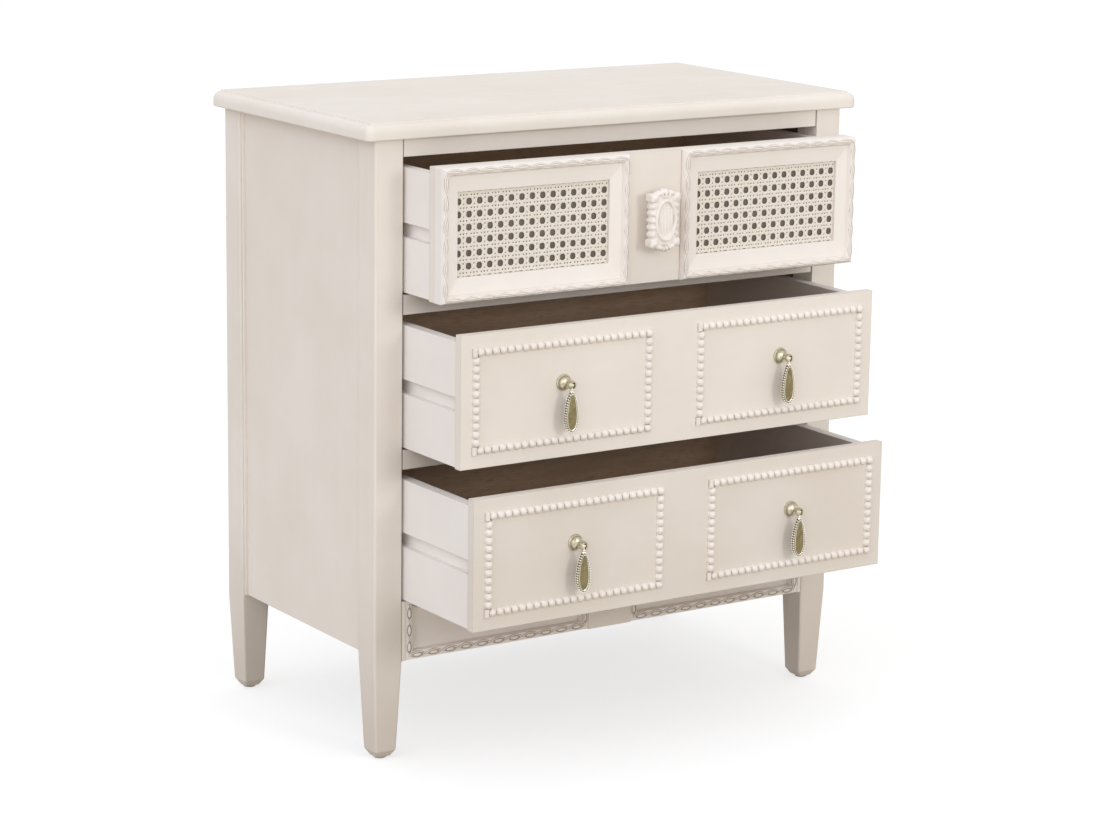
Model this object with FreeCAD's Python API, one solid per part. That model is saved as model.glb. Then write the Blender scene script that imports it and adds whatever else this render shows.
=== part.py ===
import FreeCAD, Part
import math
import os

# A painted three-drawer commode on four tapered feet, modelled with its drawers part open.
# Millimetres. X runs to the right, Y to the back, Z up from the floor.
# The origin is under the middle of everything, with the drawers as far out as they stand here.

V = FreeCAD.Vector

# Carcass
leg_height = 125.6
carcass_width = 706.0
carcass_depth = 385.0
opening_height = 168.4
joint_slack = 0.2
cut_overrun = 2.0

# Top slab
slab_edge_height = 10.8
slab_chamfer_height = 7.4
slab_chamfer_inset = 7.5
slab_ledge = 1.5
slab_step = 3.0
slab_overhang_side = 15.0
slab_overhang_front = 8.5
slab_overhang_back = 9.0
slab_corner_radius = 10.0

# Posts and feet
post_size = 40.5
post_arris = 2.5
round_steps = 3
foot_taper = 5.0
foot_tip_height = 8.0
foot_tip_inset = 5.0
glide_diameter = 16.0
glide_height = 3.0

# Rails across the front and the back
top_rail_height = 22.0
divider_height = 24.6
rail_depth = 30.0
rail_setback = 1.0
rear_rail_height = 40.0
rear_rail_thickness = 18.0
tenon_length = 14.0
tenon_thickness = 9.0
tenon_shoulder = 3.0

# Side and back panels
side_panel_thickness = 14.0
side_panel_setback = 6.5
side_panel_groove = 6.0
side_panel_raise = 8.0
back_panel_thickness = 5.0
back_panel_rebate = 8.0

# Apron below the lowest drawer
apron_height = 76.8
apron_thickness = 16.0
apron_moulding_width = 11.0
apron_moulding_depth = 10.0
apron_moulding_margin = 3.4
apron_block_width = 66.0
apron_rosette_width = 26.0
apron_rosette_height = 40.0
apron_rosette_rise = 3.0
oval_sides = 16

# Drawer boxes
drawer_rear_gap = 12.0
front_thickness = 12.0
front_side_gap = 1.5
front_gap_below = 1.0
front_gap_above = 4.0
drawer_side_thickness = 14.0
drawer_side_drop = 8.6
drawer_side_lift = 2.0
drawer_back_thickness = 12.0
drawer_back_drop = 8.0
drawer_bottom_thickness = 5.0
drawer_bottom_lift = 8.0
drawer_bottom_groove = 5.0
top_drawer_open = 68.0
middle_drawer_open = 129.4
lower_drawer_open = 160.5

# Runners that fill the grooves in the drawer sides
runner_groove_lift = 69.6
runner_groove_height = 18.0
runner_groove_depth = 8.4
runner_end_gap = 0.9
runner_setback = 18.0
running_gap = 0.3

# Screws
screw_diameter = 4.0
screw_head_diameter = 8.0
screw_head_height = 2.6
screw_hole_slack = 0.1
screw_sides = 6
runner_screw_length = 26.0
top_screw_grip = 14.0
top_screw_bite = 12.0
top_screw_inset = 150.0

# Framed cane panels on the top drawer
cane_frame_gap = 82.0
front_middle_rise = 10.0
carved_band_width = 10.0
carved_band_height = 20.0
cane_stile_width = 15.5
cane_rail_width = 20.0
cane_frame_outer_height = 14.0
cane_frame_lip_height = 10.4
cane_level = 7.0
cane_thickness = 2.0
cane_pitch = 15.2
cane_hole = 8.4
cane_hole_sides = 6

# Carved knob between the cane panels
knob_width = 41.0
knob_height = 79.0
knob_neck_height = 11.0
knob_head_thickness = 17.0
knob_edge_bevel = 4.5
knob_medallion_rise = 2.2
knob_screw_bite = 16.0
knob_side_steps = 6

# Beaded frames on the two lower drawers
bead_margin_side = 16.0
bead_margin_height = 16.7
bead_gap_half = 34.4
bead_pitch = 10.8
bead_width = 10.4
bead_rise = 6.4

# Drop pulls
turned_sides = 12
pull_lift = 92.5
rosette_radius = 10.5
rosette_height = 7.6
stem_radius = 2.8
pull_standoff = 18.0
ball_radius = 5.5
slot_width = 3.6
pin_radius = 1.2
pin_fit = 0.05
pin_inset = 0.8
stud_radius = 2.0
stud_spare = 6.0
nut_across_flats = 7.0
nut_thickness = 3.0
lug_radius = 3.0
lug_side_gap = 0.3
lug_end_gap = 0.6
drop_top = 8.5
drop_length = 50.5
drop_width = 17.0
drop_neck_width = 3.6
drop_thickness = 4.6
drop_rim = 2.4
drop_recess = 0.9
drop_steps = 9

# Shares of a section, an outline or a run, each chosen by hand
bead_waist_share = 0.66
bead_top_share = 0.55
bead_ring_shares = (0.0, 0.28, 0.72)
carved_band_shares = ((0.0, 0.0), (0.0, 0.7), (0.2, 0.95), (0.5, 1.0), (0.8, 0.95), (1.0, 0.7), (1.0, 0.0))
apron_band_shares = ((0.0, 0.0), (0.0, 0.9), (0.15, 1.0), (0.8, 0.96), (1.0, 0.75), (1.0, 0.0))
cane_rebate_share = 0.68
knob_corner_share = 0.8
knob_waist_share = 0.94
knob_neck_share = 0.5
medallion_share = 0.58
rosette_step_shares = ((1.0, 0.3), (0.82, 0.45), (0.58, 0.86))
ball_cheek_shares = ((0.5, 1.0), (0.86, 0.76))
drop_swell_share = 1.65
runner_screw_share = 0.7

# Levels and planes that follow from the sizes
half_width = carcass_width / 2
inner_half = half_width - post_size
front_reach = lower_drawer_open + pull_standoff + ball_radius
front_y = -(carcass_depth + slab_overhang_back - front_reach) / 2
back_y = front_y + carcass_depth
lower_opening_low = leg_height + apron_height
middle_opening_low = lower_opening_low + opening_height + divider_height
top_opening_low = middle_opening_low + opening_height + divider_height
slab_under = top_opening_low + opening_height + top_rail_height
total_height = slab_under + slab_edge_height + slab_chamfer_height + slab_step
rail_front_y = front_y + rail_setback
apron_front_y = rail_front_y + apron_moulding_depth
back_panel_y = back_y - back_panel_thickness
rear_rail_y = back_panel_y - rear_rail_thickness
side_panel_low = leg_height + side_panel_raise
front_half = inner_half - front_side_gap
front_height = opening_height - front_gap_below - front_gap_above
panel_outer_x = half_width - side_panel_setback
cane_frame_width = front_half - cane_frame_gap / 2
drawer_length = rear_rail_y - front_y - drawer_rear_gap
runner_reach = front_side_gap + runner_groove_depth - runner_end_gap
lug_thickness = slot_width - lug_side_gap * 2
slot_reach = lug_radius + lug_end_gap


def block(x_low, x_high, y_low, y_high, z_low, z_high):
    """A square-edged board between two corners."""
    return Part.makeBox(x_high - x_low, y_high - y_low, z_high - z_low, V(x_low, y_low, z_low))


def polygon_wire(points):
    """A closed wire through corner points."""
    return Part.makePolygon(list(points) + [points[0]])


def ellipse_face(centre, half_x, half_z):
    """An oval face in the X and Z plane, in flats."""
    turns = [math.pi * 2 * step / oval_sides for step in range(oval_sides)]
    ring = [centre + V(half_x * math.cos(turn), 0, half_z * math.sin(turn)) for turn in turns]
    return Part.Face(polygon_wire(ring))


def faceted(rings):
    """A solid with flat faces between rings of corners, closed by a flat face at each end."""
    count = len(rings[0])
    faces = [Part.Face(polygon_wire(rings[0])), Part.Face(polygon_wire(rings[-1]))]
    for near, far in zip(rings, rings[1:]):
        for here in range(count):
            ahead = (here + 1) % count
            faces.append(Part.Face(polygon_wire([near[here], near[ahead], far[ahead], far[here]])))
    solid = Part.Solid(Part.Shell(faces))
    if solid.Volume < 0:
        solid.reverse()
    return solid


def turned(profile, sides, start, direction):
    """A turned form in flats; the profile is pairs of radius to the flats and distance along."""
    rings = []
    for radius, along in profile:
        reach = radius / math.cos(math.pi / sides)
        turns = [math.pi * 2 * (step + 0.5) / sides for step in range(sides)]
        rings.append([V(reach * math.cos(turn), reach * math.sin(turn), along) for turn in turns])
    solid = faceted(rings)
    solid.Placement = FreeCAD.Placement(start, FreeCAD.Rotation(V(0, 0, 1), direction))
    return solid


def rod(radius, start, end, sides):
    """A straight rod between two points."""
    run = end - start
    return turned(((radius, 0), (radius, run.Length)), sides, start, run)


def screw(head, direction, length, slack, sunk):
    """A screw from the top of its head, or with slack the hole for it.

    A sunk head tapers to the shank, and one that isn't stands square on its seat.
    """
    shank = screw_diameter / 2 + slack
    wide = screw_head_diameter / 2 + slack
    under = shank if sunk else wide
    profile = [(wide, -slack), (under, screw_head_height + slack)]
    if not sunk:
        profile.append((shank, screw_head_height + slack))
    profile.append((shank, length + slack))
    return turned(profile, screw_sides, head, direction)


def mitred_length(points, length, half_across, end_ratio):
    """One side of a frame, along X below the frame's middle, with its ends cut to the mitre.

    The points are (inward, outward) pairs; end_ratio is how far the end draws in per inward step.
    """
    rings = []
    for side in (-1, 1):
        rings.append([V(side * (length / 2 - u * end_ratio), -v, u - half_across) for u, v in points])
    return faceted(rings)


def framed(long_points, short_points, width, height, ratio, centre):
    """The four mitred sides of a frame about a point on the board that carries it."""
    sides = []
    for turn in (0, 180):
        sides.append((mitred_length(long_points, width, height / 2, ratio), turn))
    for turn in (90, 270):
        sides.append((mitred_length(short_points, height, width / 2, 1 / ratio), turn))
    for solid, turn in sides:
        solid.rotate(V(0, 0, 0), V(0, 1, 0), turn)
        solid.translate(centre)
    return Part.makeCompound([solid for solid, turn in sides])


def scaled(shares, across, up):
    """A section's points from its shares."""
    return [(u * across, v * up) for u, v in shares]


def rounded_ring(centre_x, centre_y, half_x, half_y, radius, level):
    """The corners of a level rectangle whose own corners are rounded in flats."""
    ring = []
    for quarter in range(4):
        middle = math.pi / 4 + math.pi / 2 * quarter
        corner_x = centre_x + math.copysign(half_x - radius, math.cos(middle))
        corner_y = centre_y + math.copysign(half_y - radius, math.sin(middle))
        for step in range(round_steps + 1):
            turn = middle + math.pi / 4 * (step * 2 / round_steps - 1)
            ring.append(V(corner_x + radius * math.cos(turn), corner_y + radius * math.sin(turn), level))
    return ring


def top_slab():
    """The top board, with a vertical lower edge, a broad chamfer and a small step up to the top."""
    half_x = half_width + slab_overhang_side
    half_y = (carcass_depth + slab_overhang_front + slab_overhang_back) / 2
    centre_y = front_y - slab_overhang_front + half_y
    chamfer_low = slab_under + slab_edge_height
    chamfer_high = chamfer_low + slab_chamfer_height
    top_inset = slab_chamfer_inset + slab_ledge
    stations = ((0, slab_under), (0, chamfer_low), (slab_chamfer_inset, chamfer_high),
                (top_inset, chamfer_high), (top_inset, total_height))
    slab = faceted([rounded_ring(0, centre_y, half_x - inset, half_y - inset, slab_corner_radius, level)
                    for inset, level in stations])
    for hole in top_screws(screw_hole_slack):
        slab = slab.cut(hole)
    return slab


def top_screw_places():
    """Where the screws that hold the slab stand, in plan."""
    front = rail_front_y + rail_depth / 2
    rear = rear_rail_y + rear_rail_thickness / 2
    return [(side * top_screw_inset, y) for y in (front, rear) for side in (-1, 1)]


def rail_tenons(y_low, thickness, z_low, z_high, slack):
    """The stub tenons at both ends of a rail, or with slack their mortises."""
    middle = y_low + thickness / 2
    half = tenon_thickness / 2 + slack
    reach = tenon_length + slack
    low = z_low + tenon_shoulder - slack
    high = z_high - tenon_shoulder + slack
    left = block(-inner_half - reach, -inner_half + slack, middle - half, middle + half, low, high)
    right = block(inner_half - slack, inner_half + reach, middle - half, middle + half, low, high)
    return [left, right]


def cross_rails():
    """Each rail between the posts as name, front plane, thickness, low and high level."""
    upper_low = middle_opening_low + opening_height
    lower_low = lower_opening_low + opening_height
    top_low = top_opening_low + opening_height
    return [
        ("top_rail", rail_front_y, rail_depth, top_low, slab_under),
        ("upper_divider_rail", rail_front_y, rail_depth, upper_low, top_opening_low),
        ("lower_divider_rail", rail_front_y, rail_depth, lower_low, middle_opening_low),
        ("apron_board", apron_front_y, apron_thickness, leg_height, lower_opening_low),
        ("rear_top_rail", rear_rail_y, rear_rail_thickness, slab_under - rear_rail_height, slab_under),
        ("rear_bottom_rail", rear_rail_y, rear_rail_thickness, side_panel_low,
         side_panel_low + rear_rail_height),
    ]


def cross_rail(y_low, thickness, z_low, z_high):
    """One rail with its tenons, bored for the slab's screws where it reaches the slab."""
    body = block(-inner_half, inner_half, y_low, y_low + thickness, z_low, z_high)
    body = body.fuse(rail_tenons(y_low, thickness, z_low, z_high, 0)).removeSplitter()
    if z_high < slab_under:
        return body
    for hole, (x, y) in zip(top_screws(screw_hole_slack), top_screw_places()):
        if y_low < y < y_low + thickness:
            head = V(x, y, slab_under - top_screw_grip - screw_head_height)
            way_in = rod(screw_head_diameter / 2 + screw_hole_slack, V(x, y, z_low - cut_overrun), head,
                         screw_sides)
            body = body.cut(hole).cut(way_in)
    return body


def top_screws(slack):
    """The screws through the rails into the slab, or with slack the holes for them."""
    length = screw_head_height + top_screw_grip + top_screw_bite
    low = slab_under - top_screw_grip - screw_head_height
    return [screw(V(x, y, low), V(0, 0, 1), length, slack, False) for x, y in top_screw_places()]


def side_panel(side, slack):
    """A side panel that seats in the posts' grooves; with slack, the space that it takes up."""
    x_outer = side * (panel_outer_x + slack)
    x_inner = side * (panel_outer_x - side_panel_thickness - slack)
    reach = side_panel_groove + slack
    return block(min(x_outer, x_inner), max(x_outer, x_inner), front_y + post_size - reach,
                 back_y - post_size + reach, side_panel_low - slack, slab_under)


def back_panel(slack):
    """The thin back, let into rebates in the rear posts; with slack, the space that it takes up."""
    half = inner_half + back_panel_rebate + slack
    return block(-half, half, back_panel_y - slack, back_y, side_panel_low - slack, slab_under)


def post(side, rear):
    """One corner post with its tapered foot, cut for all that joins it."""
    centre_x = side * (half_width - post_size / 2)
    centre_y = back_y - post_size / 2 if rear else front_y + post_size / 2
    half = post_size / 2
    foot_half = half - foot_taper
    tip_half = foot_half - foot_tip_inset
    stations = ((tip_half, glide_height), (foot_half, glide_height + foot_tip_height),
                (half, leg_height), (half, slab_under))
    body = faceted([rounded_ring(centre_x, centre_y, size, size, post_arris * size / half, level)
                    for size, level in stations])
    cuts = [side_panel(side, joint_slack)]
    for name, y_low, thickness, z_low, z_high in cross_rails():
        if (y_low > (front_y + back_y) / 2) == rear:
            cuts += rail_tenons(y_low, thickness, z_low, z_high, joint_slack)
    if rear:
        slot = back_panel(joint_slack)
        cuts.append(slot.fuse(slot.translated(V(0, cut_overrun, 0))))
    cuts += runner_screws(side, screw_hole_slack)
    for cut in cuts:
        if cut.BoundBox.intersect(body.BoundBox):
            body = body.cut(cut)
    return body.removeSplitter()


def foot_glides():
    """The round pads under the feet."""
    pads = []
    for side in (-1, 1):
        for y in (front_y + post_size / 2, back_y - post_size / 2):
            x = side * (half_width - post_size / 2)
            pads.append(rod(glide_diameter / 2, V(x, y, 0), V(x, y, glide_height), turned_sides))
    return Part.makeCompound(pads)


def apron_moulding(side):
    """One carved frame on the apron, between a post and the middle block."""
    outer = inner_half - apron_moulding_margin
    inner = apron_block_width / 2
    centre = V(side * (outer + inner) / 2, apron_front_y, leg_height + apron_height / 2)
    points = scaled(apron_band_shares, apron_moulding_width, apron_moulding_depth)
    return framed(points, points, outer - inner, apron_height, 1, centre)


def apron_block():
    """The plain block in the middle of the apron, with its raised oval rosette."""
    half = apron_block_width / 2
    body = block(-half, half, rail_front_y, apron_front_y, leg_height, lower_opening_low)
    centre = V(0, rail_front_y, leg_height + apron_height / 2)
    oval = ellipse_face(centre, apron_rosette_width / 2, apron_rosette_height / 2)
    return body.fuse(oval.extrude(V(0, -apron_rosette_rise, 0))).removeSplitter()


def runner_low(opening_low):
    """The underside of the runners of the drawer above an opening's floor."""
    return opening_low + front_gap_below + runner_groove_lift + running_gap


def runner_screw_rows():
    """The Y places of a runner's two screws, each in a post."""
    near = front_y + post_size * runner_screw_share
    far = back_y - post_size * runner_screw_share
    return (near, far)


def runner_screw_places(side):
    """The head of every runner screw on one side."""
    x = side * (inner_half - runner_reach)
    middle = runner_groove_height / 2 - running_gap
    levels = (top_opening_low, middle_opening_low, lower_opening_low)
    return [V(x, y, runner_low(low) + middle) for low in levels for y in runner_screw_rows()]


def runners(side):
    """The three wooden runners on one side, screwed to the posts."""
    strips = []
    height = runner_groove_height - running_gap * 2
    x_outer = side * inner_half
    x_inner = side * (inner_half - runner_reach)
    for low in (top_opening_low, middle_opening_low, lower_opening_low):
        strip = block(min(x_outer, x_inner), max(x_outer, x_inner), front_y + runner_setback,
                      rear_rail_y, runner_low(low), runner_low(low) + height)
        for hole in runner_screws(side, screw_hole_slack):
            if hole.BoundBox.intersect(strip.BoundBox):
                strip = strip.cut(hole)
        strips.append(strip)
    return Part.makeCompound(strips)


def runner_screws(side, slack):
    """The sunk screws that hold the runners on one side, or with slack the holes for them."""
    way = V(side, 0, 0)
    return [screw(place, way, runner_screw_length, slack, True) for place in runner_screw_places(side)]


class Drawer:
    """A drawer box standing part open, with the boards that all three drawers share."""

    def __init__(self, name, opening_low, opened, middle_rise=0):
        self.name = name
        self.low = opening_low + front_gap_below
        self.high = self.low + front_height
        self.face_y = front_y - opened
        self.middle_y = self.face_y - middle_rise
        self.rear_y = self.face_y + drawer_length
        self.inside_y = self.face_y + front_thickness

    def bottom(self, slack):
        """The bottom board; with slack, the grooves that it slides into."""
        half = front_half - drawer_side_thickness + drawer_bottom_groove - joint_slack + slack
        near = self.inside_y - drawer_bottom_groove + joint_slack - slack
        low = self.low + drawer_bottom_lift
        return block(-half, half, near, self.rear_y, low - slack, low + drawer_bottom_thickness + slack)

    def side(self, hand):
        """A side board with the runner's groove along its outer face."""
        x_outer = hand * front_half
        x_inner = hand * (front_half - drawer_side_thickness)
        board = block(min(x_outer, x_inner), max(x_outer, x_inner), self.inside_y, self.rear_y,
                      self.low + drawer_side_lift, self.high - drawer_side_drop)
        groove_low = self.low + runner_groove_lift
        x_deep = hand * (front_half - runner_groove_depth)
        x_open = hand * (front_half + cut_overrun)
        groove = block(min(x_deep, x_open), max(x_deep, x_open), self.inside_y - cut_overrun,
                       self.rear_y + cut_overrun, groove_low, groove_low + runner_groove_height)
        return board.cut(groove).cut(self.bottom(joint_slack))

    def back(self):
        """The back board, which stands on the bottom board between the sides."""
        half = front_half - drawer_side_thickness
        low = self.low + drawer_bottom_lift + drawer_bottom_thickness
        return block(-half, half, self.rear_y - drawer_back_thickness, self.rear_y, low,
                     self.high - drawer_side_drop - drawer_back_drop)

    def bore(self, x, z, radius, sides):
        """The hole through the front board for a shank of a radius."""
        start = V(x, self.middle_y - cut_overrun, z)
        end = V(x, self.inside_y + cut_overrun, z)
        return rod(radius + screw_hole_slack, start, end, sides)

    def front(self, bores):
        """The front board, grooved for the bottom and bored for what is fixed to it."""
        board = block(-front_half, front_half, self.face_y, self.inside_y, self.low, self.high)
        if self.middle_y < self.face_y:
            half = cane_frame_gap / 2 - joint_slack
            plate = block(-half, half, self.middle_y, self.face_y, self.low, self.high)
            board = board.fuse(plate).removeSplitter()
        return board.cut([self.bottom(joint_slack)] + bores)

    def boards(self, bores):
        """Every board of the box by its node name."""
        return {
            self.name + "_front": self.front(bores),
            self.name + "_left_side": self.side(-1),
            self.name + "_right_side": self.side(1),
            self.name + "_back": self.back(),
            self.name + "_bottom": self.bottom(0),
        }


def cane_centre(drawer, side):
    """The middle of a cane frame on the drawer's face."""
    x = side * (front_half - cane_frame_width / 2)
    return V(x, drawer.face_y, (drawer.low + drawer.high) / 2)


def carved_moulding(drawer, side):
    """The carved band round the outside of a cane frame."""
    points = scaled(carved_band_shares, carved_band_width, carved_band_height)
    return framed(points, points, cane_frame_width, front_height, 1, cane_centre(drawer, side))


def cane_frame(drawer, side):
    """The flat frame inside the carved band, sloping to a lip and rebated behind it."""
    rise = ((0, 0), (0, cane_frame_outer_height), (1, cane_frame_lip_height), (1, cane_level),
            (cane_rebate_share, cane_level), (cane_rebate_share, 0))
    rail = scaled(rise, cane_rail_width, 1)
    stile = scaled(rise, cane_stile_width, 1)
    ratio = cane_stile_width / cane_rail_width
    width = cane_frame_width - carved_band_width * 2
    height = front_height - carved_band_width * 2
    return framed(rail, stile, width, height, ratio, cane_centre(drawer, side))


def cane_sheet_half():
    """Half the width and height of the cane and its backing, inside the frame's rebate."""
    half_x = cane_frame_width / 2 - carved_band_width - cane_stile_width * cane_rebate_share
    half_z = front_height / 2 - carved_band_width - cane_rail_width * cane_rebate_share
    return half_x - joint_slack, half_z - joint_slack


def cane_panel(drawer, side):
    """The woven cane as one sheet pierced by its rows of holes."""
    half_x, half_z = cane_sheet_half()
    window_x = cane_frame_width / 2 - carved_band_width - cane_stile_width
    window_z = front_height / 2 - carved_band_width - cane_rail_width
    corners = ((-half_x, -half_z), (half_x, -half_z), (half_x, half_z), (-half_x, half_z))
    outline = polygon_wire([V(x, 0, z) for x, z in corners])
    columns = int(window_x * 2 // cane_pitch)
    rows = int(window_z * 2 // cane_pitch)
    reach = cane_hole / 2 / math.cos(math.pi / cane_hole_sides)
    turns = [math.pi * 2 * (step + 0.5) / cane_hole_sides for step in range(cane_hole_sides)]
    holes = []
    for column in range(columns):
        for row in range(rows):
            x = (column - (columns - 1) / 2) * cane_pitch
            z = (row - (rows - 1) / 2) * cane_pitch
            ring = [V(x + reach * math.cos(turn), 0, z + reach * math.sin(turn)) for turn in turns]
            holes.append(polygon_wire(ring))
    sheet = Part.Face([outline] + holes).extrude(V(0, cane_thickness, 0))
    sheet.translate(cane_centre(drawer, side) - V(0, cane_level, 0))
    return sheet


def cane_backings(drawer):
    """The thin boards that press the cane against the frames' lips."""
    half_x, half_z = cane_sheet_half()
    boards = []
    for side in (-1, 1):
        centre = cane_centre(drawer, side)
        boards.append(block(centre.x - half_x, centre.x + half_x, centre.y - cane_level + cane_thickness,
                            centre.y, centre.z - half_z, centre.z + half_z))
    return Part.makeCompound(boards)


def knob_ring(centre, share, out):
    """The cartouche outline, hollow at the sides and crowned at the ends, drawn to a share of its size."""
    half_x = knob_width / 2
    half_z = knob_height / 2
    corner_z = half_z * knob_corner_share
    steps = [step / knob_side_steps * 2 - 1 for step in range(knob_side_steps)]
    right = [(half_x * (knob_waist_share + (1 - knob_waist_share) * t * t), corner_z * t) for t in steps]
    top = [(-half_x * t, half_z - (half_z - corner_z) * t * t) for t in steps]
    outline = right + top + [(-x, -z) for x, z in right + top]
    return [centre + V(x * share, -out, z * share) for x, z in outline]


def knob(drawer):
    """The carved knob: a neck on the board, a head with a bevelled edge, and an oval medallion."""
    foot = V(0, drawer.middle_y, (drawer.low + drawer.high) / 2)
    front = knob_neck_height + knob_head_thickness
    shoulder = front - knob_edge_bevel
    bevelled = 1 - knob_edge_bevel * 2 / knob_width
    stack = ((knob_neck_share, 0), (knob_neck_share, knob_neck_height), (1, knob_neck_height),
             (1, shoulder), (bevelled, front))
    body = faceted([knob_ring(foot, share, out) for share, out in stack])
    oval = ellipse_face(foot - V(0, front, 0), knob_width / 2 * medallion_share,
                        knob_height / 2 * medallion_share)
    body = body.fuse(oval.extrude(V(0, -knob_medallion_rise, 0))).removeSplitter()
    return body.cut(knob_screw(drawer, screw_hole_slack))


def knob_screw(drawer, slack):
    """The screw that holds the knob from inside the drawer, or with slack the hole for it."""
    head = V(0, drawer.inside_y + screw_head_height, (drawer.low + drawer.high) / 2)
    length = screw_head_height + drawer.inside_y - drawer.middle_y + knob_screw_bite
    return screw(head, V(0, -1, 0), length, slack, False)


def bead_row(length):
    """One row of beads along X about the origin, as a faceted run of swelling sections."""
    count = max(1, round(length / bead_pitch))
    step = length / count
    stations = [(bead + share) * step for bead in range(count) for share in bead_ring_shares]
    swells = [bead_waist_share, 1.0, 1.0] * count
    stations.append(length)
    swells.append(bead_waist_share)
    rings = []
    for place, swell in zip(stations, swells):
        half = bead_width / 2 * swell
        rise = bead_rise * swell
        section = ((-half, 0), (-half * bead_top_share, rise), (half * bead_top_share, rise), (half, 0))
        rings.append([V(place - length / 2, -out, across) for across, out in section])
    return faceted(rings)


def bead_frame_box():
    """The inner and outer X and the half height of a beaded frame."""
    outer = front_half - bead_margin_side
    return bead_gap_half, outer, front_height / 2 - bead_margin_height


def bead_frame(drawer, side):
    """Four bead rows: two run the full width, and two stand between them."""
    inner, outer, half_z = bead_frame_box()
    centre = V(side * (inner + outer) / 2, drawer.face_y, (drawer.low + drawer.high) / 2)
    width = outer - inner
    reach_z = half_z - bead_width / 2
    reach_x = width / 2 - bead_width / 2
    rows = []
    for hand in (-1, 1):
        long_row = bead_row(width)
        long_row.translate(centre + V(0, 0, hand * reach_z))
        short_row = bead_row((half_z - bead_width) * 2)
        short_row.rotate(V(0, 0, 0), V(0, 1, 0), 90)
        short_row.translate(centre + V(hand * reach_x, 0, 0))
        rows += [long_row, short_row]
    return Part.makeCompound(rows)


def pull_places(drawer):
    """The middle of each pull on a drawer's face."""
    inner, outer, half_z = bead_frame_box()
    x = (inner + outer) / 2
    return [V(side * x, drawer.face_y, drawer.low + pull_lift) for side in (-1, 1)]


def pull_post(place):
    """A stepped rosette with its stud, and a stem that ends in a slotted ball."""
    profile = [(stud_radius, -front_thickness - stud_spare), (stud_radius, 0), (rosette_radius, 0)]
    for across, out in rosette_step_shares:
        profile.append((rosette_radius * across, rosette_height * out))
    profile.append((stem_radius, rosette_height))
    profile.append((stem_radius, pull_standoff))
    body = turned(profile, turned_sides, place, V(0, -1, 0))
    pivot = place - V(0, pull_standoff, 0)
    half = slot_width / 2
    far = ball_radius + cut_overrun
    slot = block(pivot.x - half, pivot.x + half, pivot.y - far, pivot.y + slot_reach,
                 pivot.z - far, pivot.z + slot_reach)
    body = body.fuse(ball(pivot)).removeSplitter().cut(slot)
    return body.cut(pin_hole(place, pin_fit))


def ball(centre):
    """The ball at the end of a stem, turned about X in flats, as wide as its slot at full size."""
    cheek = [(ball_radius * across, ball_radius * along) for across, along in ball_cheek_shares]
    cheek.append((ball_radius, slot_width / 2))
    profile = [(radius, -along) for radius, along in cheek] + list(reversed(cheek))
    return turned(profile, turned_sides, centre, V(1, 0, 0))


def pull_pin(place):
    """The round pin across the slotted ball."""
    reach = ball_radius - pin_inset
    start = place - V(reach, pull_standoff, 0)
    return Part.makeCylinder(pin_radius, reach * 2, start, V(1, 0, 0))


def pin_hole(place, fit):
    """The hole for a pin, right through whatever it crosses."""
    pivot = place - V(0, pull_standoff, 0)
    reach = V(ball_radius + cut_overrun, 0, 0)
    return rod(pin_radius + fit, pivot - reach, pivot + reach, turned_sides)


def pull_nut(place):
    """The six-sided nut on the stud, inside the drawer."""
    seat = place + V(0, front_thickness, 0)
    reach = V(0, nut_thickness, 0)
    nut = rod(nut_across_flats / 2, seat, seat + reach, 6)
    return nut.cut(rod(stud_radius + pin_fit, seat - reach, seat + reach * 2, turned_sides))


def drop_outline(inset):
    """The pear-shaped outline of a drop, in X and Z below its pivot, drawn in by an inset."""
    half = drop_width / 2 - inset
    neck = max(drop_neck_width / 2 - inset, drop_neck_width / 4)
    top = -drop_top - inset
    run = drop_length - inset * 2
    right = []
    for step in range(drop_steps):
        along = step / drop_steps
        swell = math.sin(math.pi * along ** drop_swell_share)
        taper = neck * (1 - along)
        right.append((taper + (half - taper) * swell, top - run * along))
    left = [(-x, z) for x, z in reversed(right)]
    return Part.Face(polygon_wire([V(x, 0, z) for x, z in right + [(0, top - run)] + left]))


def pull_drop(place):
    """The hanging drop: an eye round the pin, a neck, and a rimmed pear-shaped plate."""
    half = lug_thickness / 2
    eye = rod(lug_radius, V(-half, 0, 0), V(half, 0, 0), turned_sides)
    neck = block(-half, half, -half, half, -drop_top - drop_neck_width, 0)
    plate = drop_outline(0)
    plate.translate(V(0, drop_thickness / 2, 0))
    body = eye.fuse([neck, plate.extrude(V(0, -drop_thickness, 0))]).removeSplitter()
    field = drop_outline(drop_rim).translated(V(0, drop_recess - drop_thickness / 2, 0))
    body = body.cut(field.extrude(V(0, -drop_recess - cut_overrun, 0)))
    body = body.translated(place - V(0, pull_standoff, 0))
    return body.cut(pin_hole(place, pin_fit * 2))


def pull_set(drawer, drop_name):
    """Every piece of a drawer's two pulls by node name."""
    places = pull_places(drawer)
    pieces = {
        drawer.name + "_pull_posts": Part.makeCompound([pull_post(place) for place in places]),
        drawer.name + "_pull_pins": Part.makeCompound([pull_pin(place) for place in places]),
        drawer.name + "_pull_nuts": Part.makeCompound([pull_nut(place) for place in places]),
    }
    for hand, place in zip(("left", "right"), places):
        pieces["%s_%s_drop" % (drop_name, hand)] = pull_drop(place)
    return pieces


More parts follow.
